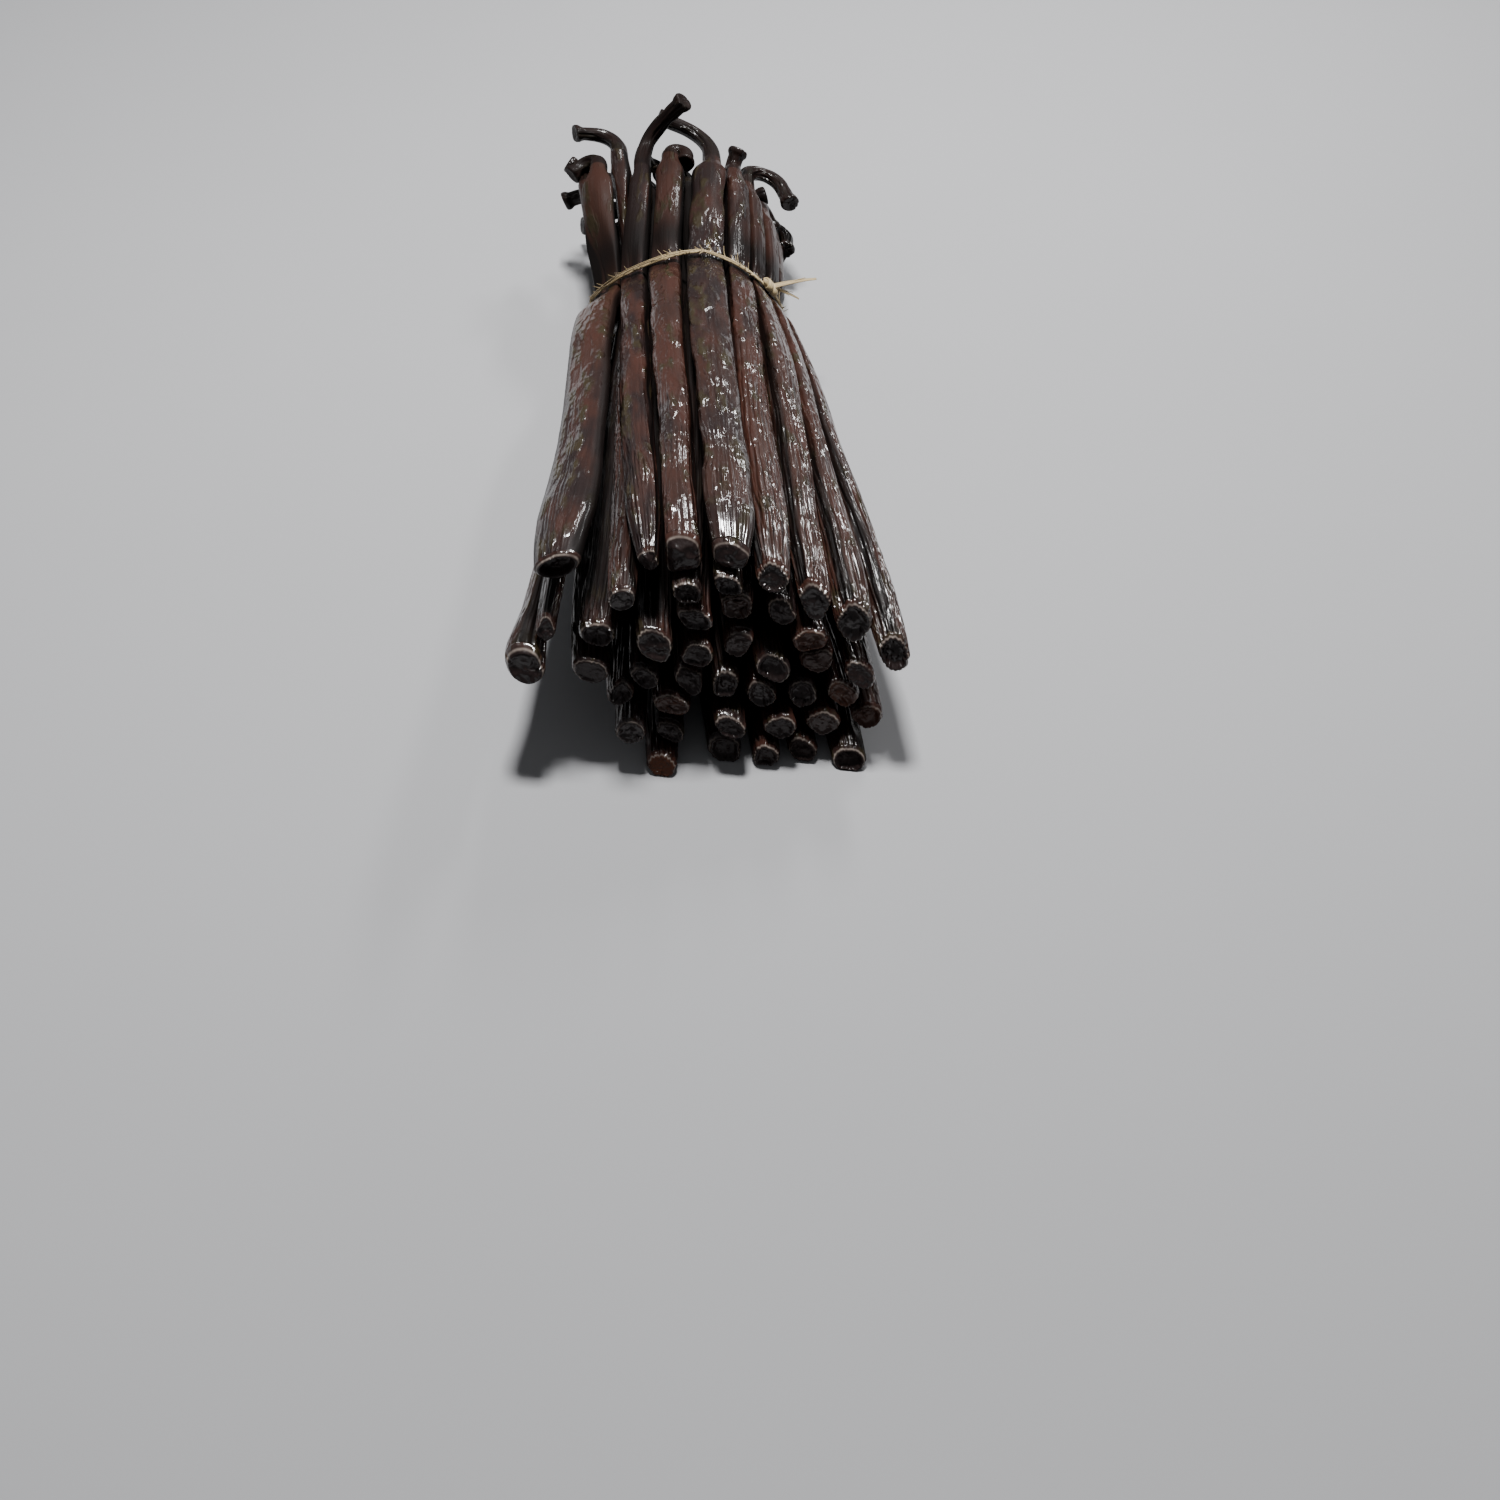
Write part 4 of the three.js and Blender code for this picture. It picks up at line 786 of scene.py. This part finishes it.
# ---- Meshes ---------------------------------------------------------------------------------------
def grid_faces(rows, around, first):
    """Faces of a grid closed round its columns, with its two ends drawn together in one point
    each: quads between rows, triangles at the ends. The two points come after the grid's."""
    index = first + np.arange(rows * around).reshape(rows, around)
    after = np.roll(index, -1, axis=1)
    quads = np.stack([index[:-1], index[1:], after[1:], after[:-1]], axis=-1).reshape(-1, 4)
    low, high = first + rows * around, first + rows * around + 1
    start = np.stack([np.full(around, low), index[0], after[0]], axis=-1)
    end = np.stack([np.full(around, high), after[-1], index[-1]], axis=-1)
    return quads, np.concatenate([start, end])


def mesh_object(name, points, quads, triangles, layers, material):
    """A smooth-shaded mesh object at the origin, with point attributes for its material."""
    mesh = bpy.data.meshes.new(name)
    loops = np.concatenate([quads.reshape(-1), triangles.reshape(-1)])
    starts = np.concatenate([np.arange(len(quads)) * 4, 4 * len(quads) + 3 * np.arange(len(triangles))])
    mesh.vertices.add(len(points))
    mesh.vertices.foreach_set("co", points.reshape(-1).astype(np.float32))
    mesh.loops.add(len(loops))
    mesh.loops.foreach_set("vertex_index", loops.astype(np.int32))
    mesh.polygons.add(len(starts))
    mesh.polygons.foreach_set("loop_start", starts.astype(np.int32))
    mesh.update(calc_edges=True)
    mesh.validate()
    for label, values in layers.items():
        layer = mesh.attributes.new(label, "FLOAT_VECTOR", "POINT")
        layer.data.foreach_set("vector", values.reshape(-1).astype(np.float32))
    mesh.shade_smooth()
    mesh.materials.append(material)
    item = bpy.data.objects.new(name, mesh)
    bpy.context.scene.collection.objects.link(item)
    return item


def grids_object(name, grids, material):
    """Closed grids in one mesh. Each is its points and its attributes, and is closed by a point in
    the middle of each end row."""
    points, quads, triangles, layers, first = [], [], [], {}, 0
    for place, values in grids:
        rows, around = place.shape[:2]
        sides, ends = grid_faces(rows, around, first)
        quads.append(sides)
        triangles.append(ends)
        points += [place.reshape(-1, 3), place[[0, -1]].mean(axis=1)]
        for label, layer in values.items():
            layers.setdefault(label, []).extend([layer.reshape(-1, 3), layer[[0, -1], 0]])
        first += rows * around + 2
    layers = {label: np.concatenate(layer) for label, layer in layers.items()}
    return mesh_object(
        name, np.concatenate(points), np.concatenate(quads), np.concatenate(triangles), layers, material)


def pod_piece(name, pods, members, grid, settings, material):
    """The pods of one kind in one mesh. Attributes: grain, a place round and along the pod for
    patterns; marks, how much painted shade and dullness it gets, how much is cut face, and how
    ribbed the skin is; tone, how brown, red and wet it is."""
    item = grids_object(name, [pod_surface(pods, k, grid, settings) for k in members], material)
    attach(item, "root")
    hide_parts("vanilla_pods")


# ---- Materials ------------------------------------------------------------------------------------
def node(tree, kind, inputs=None, output=0, **settings):
    """Adds a node, sets its settings, gives each input its value or its link, and returns one of
    its outputs."""
    made = tree.nodes.new(kind)
    for key, value in settings.items():
        setattr(made, key, value)
    for key, value in (inputs or {}).items():
        if isinstance(value, bpy.types.NodeSocket):
            tree.links.new(value, made.inputs[key])
        else:
            made.inputs[key].default_value = value
    return made.outputs[output] if made.outputs else None


def new_material(name):
    """A material with an empty node tree."""
    material = bpy.data.materials.new(name)
    material.use_nodes = True
    material.node_tree.nodes.clear()
    return material, material.node_tree


def cured_vanilla_skin(settings):
    """Cured vanilla pod: a dark leathery skin, wrinkled lengthwise by drying and coated with its
    own oil. It is umber to reddish brown, made near black by painted shade in its creases, on its
    sides and deep in the bundle, darker and duller on its stems and hooks, with ribs painted lighter
    on their crests, a pale painted highlight on the rims of its cut faces, and small sharp glints
    where the oily ridges turn to the light."""
    material, tree = new_material("cured_vanilla_skin")
    grain = node(tree, "ShaderNodeAttribute", output="Vector", attribute_name="grain")
    marks = node(tree, "ShaderNodeAttribute", output="Vector", attribute_name="marks")
    tone = node(tree, "ShaderNodeAttribute", output="Vector", attribute_name="tone")
    # Painted shade and dullness, the cut face, and how ribbed the skin is.
    shade_and_dull, cut, ribbed = node(tree, "ShaderNodeSeparateXYZ", {0: marks}).node.outputs[:3]
    brown, red, wet = node(tree, "ShaderNodeSeparateXYZ", {0: tone}).node.outputs[:3]

    # Noises with one unit every so many mm across and along the pod: fibres, ribs, blisters, the
    # finest grain, patches of colour, and films of oil.
    noises = {}
    for name, across, along, detail, bend in (
        ("fibre", 0.8, 10.0, 4.0, 0.0), ("rib", 0.7, 18.0, 0.5, 0.2), ("blister", 1.5, 2.3, 0.0, 0.5),
        ("grain", 0.4, 0.8, 1.0, 0.0), ("patch", 4.5, 12.0, 3.0, 0.0), ("oil", 3.5, 7.0, 2.0, 0.0),
    ):
        scale = (1 / (across * MM), 1 / (across * MM), 1 / (along * MM))
        place = node(tree, "ShaderNodeMapping", {"Vector": grain, "Scale": scale})
        inputs = {"Vector": place, "Scale": 1.0, "Detail": detail, "Roughness": 0.5, "Distortion": bend}
        noises[name] = node(tree, "ShaderNodeTexNoise", inputs)

    # Blisters: low swellings that only here and there turn steeply enough to catch the light. They
    # come where the film of oil is thick and on wet skin, and not on ribs, nor where the skin gets
    # painted shade or is dull.
    inputs = {"Value": noises["oil"], "From Min": 0.43, "From Max": 0.65, "To Min": 0.0, "To Max": 0.66}
    among = node(tree, "ShaderNodeMapRange", inputs)
    for value, weight, clamped in ((wet, 0.34, False), (ribbed, -0.5, False), (shade_and_dull, -0.6, True)):
        inputs = {0: value, 1: weight, 2: among}
        among = node(tree, "ShaderNodeMath", inputs, operation="MULTIPLY_ADD", use_clamp=clamped)
    blister = node(tree, "ShaderNodeMath", {0: noises["blister"], 1: among}, operation="MULTIPLY")
    rib = node(tree, "ShaderNodeMath", {0: noises["rib"], 1: ribbed}, operation="MULTIPLY")

    # Weighted sums: how light, red and olive the skin is, how rough, how thick its coat of oil, and
    # the height of its wrinkles in mm. The ribs raise both height and lightness, a painted highlight on
    # their crests.
    sums = {}
    for name, total, terms in (
        ("light", -0.80, ((noises["fibre"], 0.7), (noises["patch"], 0.8), (brown, 1.0), (rib, 0.3))),
        ("red", -0.38, ((noises["patch"], 0.9), (red, 0.3))),
        ("olive", 0.0, ((noises["oil"], 1.0), (red, -0.1))),
        ("rough", 0.42, ((noises["oil"], 0.05), (shade_and_dull, 0.20), (cut, 0.10), (wet, -0.12))),
        ("coat", 0.45, ((wet, 0.5), (ribbed, 0.45), (shade_and_dull, -0.6), (cut, -0.2))),
        ("height", 0.0, ((blister, 1.0), (noises["fibre"], 0.07), (noises["grain"], 0.03))),
    ):
        for value, weight in terms:
            total = node(tree, "ShaderNodeMath", {0: value, 1: weight, 2: total}, operation="MULTIPLY_ADD")
        sums[name] = total
    inputs = {"Value": wet, "From Min": 1.1, "From Max": 1.34, "To Min": 1.0, "To Max": 0.2}
    even = node(tree, "ShaderNodeMapRange", inputs)
    height = node(tree, "ShaderNodeMath", {0: sums["height"], 1: even}, operation="MULTIPLY")
    height = node(tree, "ShaderNodeMath", {0: rib, 1: 0.9, 2: height}, operation="MULTIPLY_ADD")

    # Shares of the colours. The rim of a cut gets a pale painted highlight in places: where the cut
    # fades out, the curve (4 cut (1 - cut))^2 rises to 1.
    ramps = {}
    for name, value, low, high in (
        ("light", sums["light"], 0.0, 1.0), ("red", sums["red"], 0.10, 0.42),
        ("olive", sums["olive"], 0.50, 0.64), ("cut", red, 0.70, 0.95),
    ):
        inputs = {"Value": value, "From Min": low, "From Max": high}
        ramps[name] = node(tree, "ShaderNodeMapRange", inputs, interpolation_type="SMOOTHSTEP")
    inputs = {"Value": noises["oil"], "From Min": 0.35, "From Max": 0.6, "To Min": 0.15, "To Max": 1.0}
    in_places = node(tree, "ShaderNodeMapRange", inputs)
    uncut = node(tree, "ShaderNodeMath", {0: 1.0, 1: cut}, operation="SUBTRACT")
    rim = node(tree, "ShaderNodeMath", {0: uncut, 1: cut}, operation="MULTIPLY")
    for other, operation in ((4.0, "MULTIPLY"), (2.0, "POWER"), (in_places, "MULTIPLY")):
        rim = node(tree, "ShaderNodeMath", {0: rim, 1: other}, operation=operation)

    # From the dark skin to the brown one, then reddish and olive patches, then the near black of
    # painted shade in creases, on the sides and deep in the bundle, which also darkens the duller
    # stems and hooks, and the cut faces, most of them dark and a few reddish, and the pale painted
    # highlight on their rims.
    inputs = {0: ramps["cut"], 6: (*settings.dark, 1), 7: (*settings.cut, 1)}
    face = node(tree, "ShaderNodeMix", inputs, output=2, data_type="RGBA")
    colour = (*settings.dark, 1)
    for amount, other in (
        (ramps["light"], (*settings.skin, 1)), (ramps["red"], (*settings.warm, 1)),
        (ramps["olive"], (*settings.olive, 1)), (shade_and_dull, (*settings.shade_and_dull, 1)), (cut, face),
        (rim, (*settings.rim, 1)),
    ):
        inputs = {0: amount, 6: colour, 7: other}
        colour = node(tree, "ShaderNodeMix", inputs, output=2, data_type="RGBA", clamp_factor=True)

    bump = node(tree, "ShaderNodeBump", {"Strength": 1.0, "Distance": MM, "Height": height})
    shader = node(tree, "ShaderNodeBsdfPrincipled", {
        "Base Color": colour, "Roughness": sums["rough"], "IOR": 1.45, "Specular IOR Level": 0.1,
        "Coat Weight": sums["coat"], "Coat Roughness": 0.15, "Coat IOR": 1.6, "Normal": bump,
        "Coat Normal": bump,
    })
    node(tree, "ShaderNodeOutputMaterial", {"Surface": shader})
    return material


def dry_raffia(settings):
    """Raffia: a dry strip of palm leaf, split and twisted. It looks straw coloured and dull, with
    fine fibres along it, and darker towards the left."""
    material, tree = new_material("dry_raffia")
    grain = node(tree, "ShaderNodeAttribute", output="Vector", attribute_name="grain")
    oil = node(tree, "ShaderNodeAttribute", output="Vector", attribute_name="oil")
    oil = node(tree, "ShaderNodeSeparateXYZ", {0: oil})

    # Fibres 0.16 mm across and 6 mm long, and stains of 2 by 9 mm.
    noises = []
    for across, along in ((0.16, 6.0), (2.0, 9.0)):
        scale = (1 / (across * MM), 1 / (across * MM), 1 / (along * MM))
        place = node(tree, "ShaderNodeMapping", {"Vector": grain, "Scale": scale})
        noises.append(node(tree, "ShaderNodeTexNoise", {"Vector": place, "Scale": 1.0, "Detail": 3.0}))
    fibre, stain = noises
    amount = node(tree, "ShaderNodeMath", {0: fibre, 1: stain}, operation="MULTIPLY")
    # Darker towards the left, by the oil attribute.
    amount = node(tree, "ShaderNodeMath", {0: oil, 1: -0.16, 2: amount}, operation="MULTIPLY_ADD")
    amount = node(tree, "ShaderNodeMapRange", {"Value": amount, "From Min": 0.12, "From Max": 0.38})
    inputs = {0: amount, 6: (*settings.darker_straw, 1), 7: (*settings.straw, 1)}
    colour = node(tree, "ShaderNodeMix", inputs, output=2, data_type="RGBA")
    bump = node(tree, "ShaderNodeBump", {"Strength": 0.8, "Distance": 0.12 * MM, "Height": fibre})
    shader = node(tree, "ShaderNodeBsdfPrincipled", {
        "Base Color": colour, "Roughness": 0.62, "Sheen Weight": 0.25, "Normal": bump,
    })
    node(tree, "ShaderNodeOutputMaterial", {"Surface": shader})
    return material


def matt_board(colour):
    """Matt board: even and pale, with a faint mottle so that it isn't quite flat."""
    material, tree = new_material("matt_board")
    place = node(tree, "ShaderNodeTexCoord", output="Object")
    mottle = node(tree, "ShaderNodeTexNoise", {"Vector": place, "Scale": 9.0, "Detail": 4.0})
    darker = tuple(0.93 * c for c in colour)
    inputs = {0: mottle, 6: (*darker, 1), 7: (*colour, 1)}
    colour = node(tree, "ShaderNodeMix", inputs, output=2, data_type="RGBA")
    shader = node(tree, "ShaderNodeBsdfPrincipled", {"Base Color": colour, "Roughness": 0.85})
    node(tree, "ShaderNodeOutputMaterial", {"Surface": shader})
    return material


# ---- The tie's surface ------------------------------------------------------------------------------
def towards_left(across):
    """How much darker and narrower the tie is: more the further it lies to the left."""
    return smooth((-across - LEFTWARD_FROM) / LEFTWARD_OVER)


def strand_surface(path, across, outward, width, thickness, around, seed):
    """A flat strand carried along a path: an ellipse of the strand's width and thickness with fine
    fibres along it, as a grid of points in the layout, and its grain."""
    steps = len(path)
    angle = np.arange(around) * 2 * np.pi / around
    run = np.concatenate([[0], np.cumsum(np.linalg.norm(np.diff(path, axis=0), axis=-1))])[:, None]
    u, v = np.broadcast_arrays(np.arange(around)[None] / around * 11, run / 5.0)
    fibres = 1 - 0.16 * np.abs(ripple(u, v, 11, seed))
    a = (np.broadcast_to(width, steps) / 2)[:, None, None]
    b = (np.broadcast_to(thickness, steps) / 2)[:, None, None]
    c, s = np.cos(angle)[None, :, None], np.sin(angle)[None, :, None]
    points = path[:, None] + (c * a * across[:, None] + s * b * outward[:, None]) * fibres[..., None]
    grain = np.broadcast_arrays(np.cos(angle)[None] + seed, np.sin(angle)[None], run + 7.0 * seed)
    return points, np.stack(grain, axis=-1)


def flat_strand(path, facing, width, thickness, around, seed):
    """A strand whose flat side turns as near as can be to facing, square to its path."""
    ahead = np.gradient(path, axis=0)
    ahead /= np.linalg.norm(ahead, axis=-1, keepdims=True)
    across = np.cross(np.broadcast_to(facing, path.shape), ahead)
    across /= np.linalg.norm(across, axis=-1, keepdims=True)
    return strand_surface(path, across, np.cross(ahead, across), width, thickness, around, seed)


def raffia_loop(width, thickness, out):
    """The loop: the waist's outline, as split strips that wander along the bundle and cross, and
    come together at the knot."""
    steps, grids = STRIP_STEPS, []
    turn = np.linspace(0, 1, steps)
    angle = np.radians(KNOT_ANGLE) + np.linspace(0, 2 * np.pi, steps)
    closing = np.sin(np.linspace(0, np.pi, steps)).clip(0) ** 0.5

    def wave(cells, row, seed):
        return ripple(turn * cells, np.full(steps, row + 0.5), cells, seed)

    along = np.tile([0.0, 1.0, 0.0], (steps, 1))
    drift = 0.22 * wave(9, 0, 31)
    for k, (wide, thick, astray) in enumerate(STRIPS):
        aside = astray * wave(17, 2 + k, 34 + k)
        lift = 0.25 * wave(13, 4 + k, 44 + k) + 0.12 * k
        twist = 0.9 * wave(9, 3 + k, 54 + k)[:, None]
        place, square = waist_point(angle, out + lift * closing)
        varied = (1 + 0.35 * wave(29, 5 + k, 64 + k)) * mix(1.0, LEFTWARD_NARROWER, towards_left(place[:, 0]))
        path = np.stack([place[:, 0], TIE_AT + (drift + aside) * closing, place[:, 1]], axis=-1)
        outward = np.stack([square[:, 0], np.zeros(steps), square[:, 1]], axis=-1)
        across = np.cos(twist) * along + np.sin(twist) * outward
        normal = np.cos(twist) * outward - np.sin(twist) * along
        wide, thick = wide * width * varied, thick * thickness
        grids.append(strand_surface(path, across, normal, wide, thick, 14, 3 + k))
    return grids


def raffia_knot(middle, along, outward):
    """The knot: two turns wound round the strand as a helix, over a swollen core whose width goes
    with the root of 1 - t^4."""
    onward = np.cross(along, outward)
    t = np.linspace(0, 1, 90)
    turn = (2 * np.pi * KNOT_TURNS * t - KNOT_START)[:, None]
    winding = middle + np.outer(KNOT_PITCH * (t - 0.5), onward)
    winding = winding + KNOT_RADII[0] * np.cos(turn) * along + KNOT_RADII[1] * np.sin(turn) * outward
    core = middle + np.outer(np.linspace(-CORE_HALF_LENGTH, CORE_HALF_LENGTH, 30), onward)
    swell = CORE_WIDTH * np.sqrt(np.maximum(1 - np.linspace(-1, 1, 30) ** 4, 0.05))
    return [
        flat_strand(winding, np.cos(turn) * along + np.sin(turn) * outward, *KNOT_STRAND, 14, 5),
        flat_strand(core, outward, swell, CORE_FLATNESS * swell, 14, 6),
    ]


def raffia_tails(middle, draw):
    """The free ends: flat strips that thin out and sag with the square of the way, each with
    narrower fibres that fan out of it."""
    grids, t = [], np.linspace(0, 1, 40)
    for length, swing, rise, width in TAILS:
        swing, rise = np.radians(swing), np.radians(rise)
        heading = np.array([np.cos(rise), np.sin(swing), np.sin(rise)])
        heading /= np.linalg.norm(heading)
        up = np.array([-heading[2], 0, heading[0]])
        up /= np.linalg.norm(up)
        for k in range(TAIL_FIBRES):
            far, aside, lift, wide, thin = length, 0.0, 0.0, TAIL_WIDTH * width, TAIL_THICKNESS
            if k > 0:
                far, (wide, thin) = length * draw.between(FIBRE_SHORTEST, 1.0), FIBRE_SIZE
                aside, lift = (draw.between(-most, most) for most in FIBRE_STRAY)
            path = middle + np.outer(t * far, heading) + np.outer(aside * t**1.6, np.cross(up, heading))
            path = path + np.outer(lift * t**2 - TAIL_SAG * (t * far / length) ** 2, up)
            grids.append(flat_strand(path, up, wide * (1 - 0.6 * t), thin * (1 - 0.5 * t), 10, 10 + k))
    return grids


def loose_fibres(out, draw):
    """Short fibres that stand off the loop, further with the square of the way along them."""
    grids, t = [], np.linspace(0, 1, 12)
    for k in range(LOOSE_FIBRES):
        start, span = draw.between(0, 2 * np.pi), draw.between(*FIBRE_SPAN)
        lift = draw.between(0.0, FIBRE_LIFT)
        swing, aside = (draw.between(-most, most) for most in FIBRE_SWAY)
        place, square = waist_point(start + span * t, out + 0.25 + lift * t**2)
        path = np.stack([place[:, 0], TIE_AT + swing * t**1.5 + aside, place[:, 1]], axis=-1)
        normal = np.stack([square[:, 0], np.zeros(12), square[:, 1]], axis=-1)
        taper = 1 - 0.6 * t
        grids.append(flat_strand(path, normal, FIBRE_WIDTH * taper, FIBRE_THICKNESS * taper, 5, 20 + k))
    return grids


def raffia_piece(settings, material):
    """The tie in one mesh of closed grids. Attributes: grain, and oil, how much darker it is to the left."""
    draw = Draws(SEED + 3)
    width, thickness = settings.width / MM, settings.thickness / MM
    out = thickness / 2 - STRIP_SUNK
    place, square = waist_point(np.radians(KNOT_ANGLE), out + KNOT_OUT)
    middle, outward = np.array([place[0], TIE_AT, place[1]]), np.array([square[0], 0.0, square[1]])
    grids = raffia_loop(width, thickness, out) + raffia_knot(middle, np.array([0.0, 1.0, 0.0]), outward)
    grids += raffia_tails(middle, draw) + loose_fibres(out, draw)
    finished = []
    for p, grain in grids:
        points = placed(p[..., 0], p[..., 1], np.maximum(p[..., 2], PRESSED + 0.05))
        finished.append((points, {"grain": grain * MM, "oil": np.repeat(towards_left(p[..., :1]), 3, axis=-1)}))
    item = grids_object("raffia_strand", finished, material)
    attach(item, "root")
    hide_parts("raffia_tie")


# ---- Operators ------------------------------------------------------------------------------------
SHARED = {}


class PodPieces:
    """Adds pieces of pods. The layout and the skin are worked out once for all pieces."""

    def execute(self, context):
        settings = context.scene.vanilla_pods
        if not SHARED:
            SHARED["pods"] = make_pods()
            SHARED["skin"] = cured_vanilla_skin(settings)
        for name, members, grid in self.pieces:
            pod_piece(name, SHARED["pods"], members, grid, settings, SHARED["skin"])
        return {"FINISHED"}


class VANILLA_OT_top_pods(PodPieces, bpy.types.Operator):
    """Adds the broad pods that lie on top of the bundle"""

    bl_idname = "vanilla.top_pods"
    bl_label = "Top Pods"
    pieces = [("pods_on_top", TOP_PODS, SHOWN_GRID)]


class VANILLA_OT_flank_pods(PodPieces, bpy.types.Operator):
    """Adds the ribbed pods down the right flank"""

    bl_idname = "vanilla.flank_pods"
    bl_label = "Flank Pods"
    pieces = [("pods_on_right_flank", FLANK_PODS, SHOWN_GRID)]


class VANILLA_OT_left_pods(PodPieces, bpy.types.Operator):
    """Adds the pods that stray to the left and the one tucked under the broad one"""

    bl_idname = "vanilla.left_pods"
    bl_label = "Left Pods"
    pieces = [("pods_on_left", LEFT_PODS, LEFT_GRID)]


class VANILLA_OT_row_pods(PodPieces, bpy.types.Operator):
    """Adds the rows of pods beneath, in three pieces from the top down"""

    bl_idname = "vanilla.row_pods"
    bl_label = "Row Pods"
    pieces = [
        ("pods_in_upper_rows", UPPER_ROWS, ROW_GRID),
        ("pods_in_middle_rows", MIDDLE_ROWS, ROW_GRID),
        ("pods_in_lower_rows", LOWER_ROWS, ROW_GRID),
    ]


class VANILLA_OT_raffia_tie(bpy.types.Operator):
    """Adds the raffia strand, its knot and its loose fibres"""

    bl_idname = "vanilla.raffia_tie"
    bl_label = "Raffia Tie"

    def execute(self, context):
        settings = context.scene.vanilla_raffia
        raffia_piece(settings, dry_raffia(settings))
        return {"FINISHED"}


class VANILLA_OT_studio(bpy.types.Operator):
    """Adds the floor, the lights and the camera"""

    bl_idname = "vanilla.studio"
    bl_label = "Studio"

    def execute(self, context):
        settings = context.scene.vanilla_studio
        side = FLOOR_HALF_SIDE
        corners = np.array([(-side, -side, 0), (side, -side, 0), (side, side, 0), (-side, side, 0)], float)
        corners[:, 2] = -FLOOR_DOWN
        floor = mesh_object("floor", corners, np.array([[0, 1, 2, 3]]), np.zeros((0, 3), int), {},
                            matt_board(tuple(settings.floor)))
        for name, (place, target, size) in SOFTBOXES.items():
            add_softbox(f"{name}_softbox", place, target, size, getattr(settings, f"{name}_power"))
        world = bpy.data.worlds.new("studio_air")
        world.use_nodes = True
        background = world.node_tree.nodes["Background"]
        background.inputs["Color"].default_value = (*linear(AIR), 1)
        background.inputs["Strength"].default_value = AIR_STRENGTH
        context.scene.world = world
        add_camera(context, settings.lens)
        return {"FINISHED"}


def pose(right, up, back, place):
    """The matrix of an object with these axes at a place."""
    matrix = np.eye(4)
    matrix[:3, 0], matrix[:3, 1], matrix[:3, 2], matrix[:3, 3] = right, up, back, place
    return Matrix(matrix.tolist())


def add_softbox(name, place, target, size, power):
    """A rectangular area light at a place, facing a target."""
    light = bpy.data.lights.new(name, "AREA")
    light.shape = "RECTANGLE"
    light.size, light.size_y = size
    light.energy = power
    item = bpy.data.objects.new(name, light)
    back = np.array(place, float) - np.array(target, float)
    back /= np.linalg.norm(back)
    right = np.cross([0.0, 1.0, 0.0], back)
    right /= np.linalg.norm(right)
    item.matrix_world = pose(right, np.cross(back, right), back, place)
    bpy.context.scene.collection.objects.link(item)


def add_camera(context, lens):
    """The camera: above and in front of the fan, looking down along the bundle."""
    yaw, pitch, roll = np.radians([CAMERA_YAW, CAMERA_PITCH, CAMERA_ROLL])
    ahead = np.array([np.sin(yaw) * np.cos(pitch), np.cos(yaw) * np.cos(pitch), -np.sin(pitch)])
    level = np.array([np.cos(yaw), -np.sin(yaw), 0.0])
    steep = np.cross(level, ahead)
    right = np.cos(roll) * level + np.sin(roll) * steep
    up = -np.sin(roll) * level + np.cos(roll) * steep
    camera = bpy.data.cameras.new("camera")
    camera.lens = lens
    camera.sensor_width = 36
    camera.clip_start = 0.01
    item = bpy.data.objects.new("camera", camera)
    item.matrix_world = pose(right, up, -ahead, (CAMERA_AT + LAYOUT_ORIGIN) * MM)
    context.scene.collection.objects.link(item)
    context.scene.camera = item


class VANILLA_PT_panel(bpy.types.Panel):
    """Lists the pieces and their settings"""

    bl_idname = "VANILLA_PT_panel"
    bl_label = "Vanilla Pod Bundle"
    bl_space_type = "VIEW_3D"
    bl_region_type = "UI"
    bl_category = "Vanilla"

    def draw(self, context):
        for operator in OPERATORS:
            self.layout.operator(operator.bl_idname)
        for group in (context.scene.vanilla_pods, context.scene.vanilla_raffia, context.scene.vanilla_studio):
            column = self.layout.column()
            for name in group.__annotations__:
                column.prop(group, name)


OPERATORS = (
    VANILLA_OT_top_pods,
    VANILLA_OT_flank_pods,
    VANILLA_OT_left_pods,
    VANILLA_OT_row_pods,
    VANILLA_OT_raffia_tie,
    VANILLA_OT_studio,
)
CLASSES = (PodSettings, RaffiaSettings, StudioSettings, *OPERATORS, VANILLA_PT_panel)


def register():
    for item in CLASSES:
        bpy.utils.register_class(item)
    bpy.types.Scene.vanilla_pods = bpy.props.PointerProperty(type=PodSettings)
    bpy.types.Scene.vanilla_raffia = bpy.props.PointerProperty(type=RaffiaSettings)
    bpy.types.Scene.vanilla_studio = bpy.props.PointerProperty(type=StudioSettings)


def unregister():
    del bpy.types.Scene.vanilla_studio
    del bpy.types.Scene.vanilla_raffia
    del bpy.types.Scene.vanilla_pods
    for item in reversed(CLASSES):
        bpy.utils.unregister_class(item)


def main():
    """Registers the classes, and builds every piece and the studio."""
    register()
    bpy.ops.vanilla.top_pods()
    bpy.ops.vanilla.flank_pods()
    bpy.ops.vanilla.left_pods()
    bpy.ops.vanilla.row_pods()
    bpy.ops.vanilla.raffia_tie()
    bpy.ops.vanilla.studio()
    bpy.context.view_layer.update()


if __name__ == "__main__":
    main()
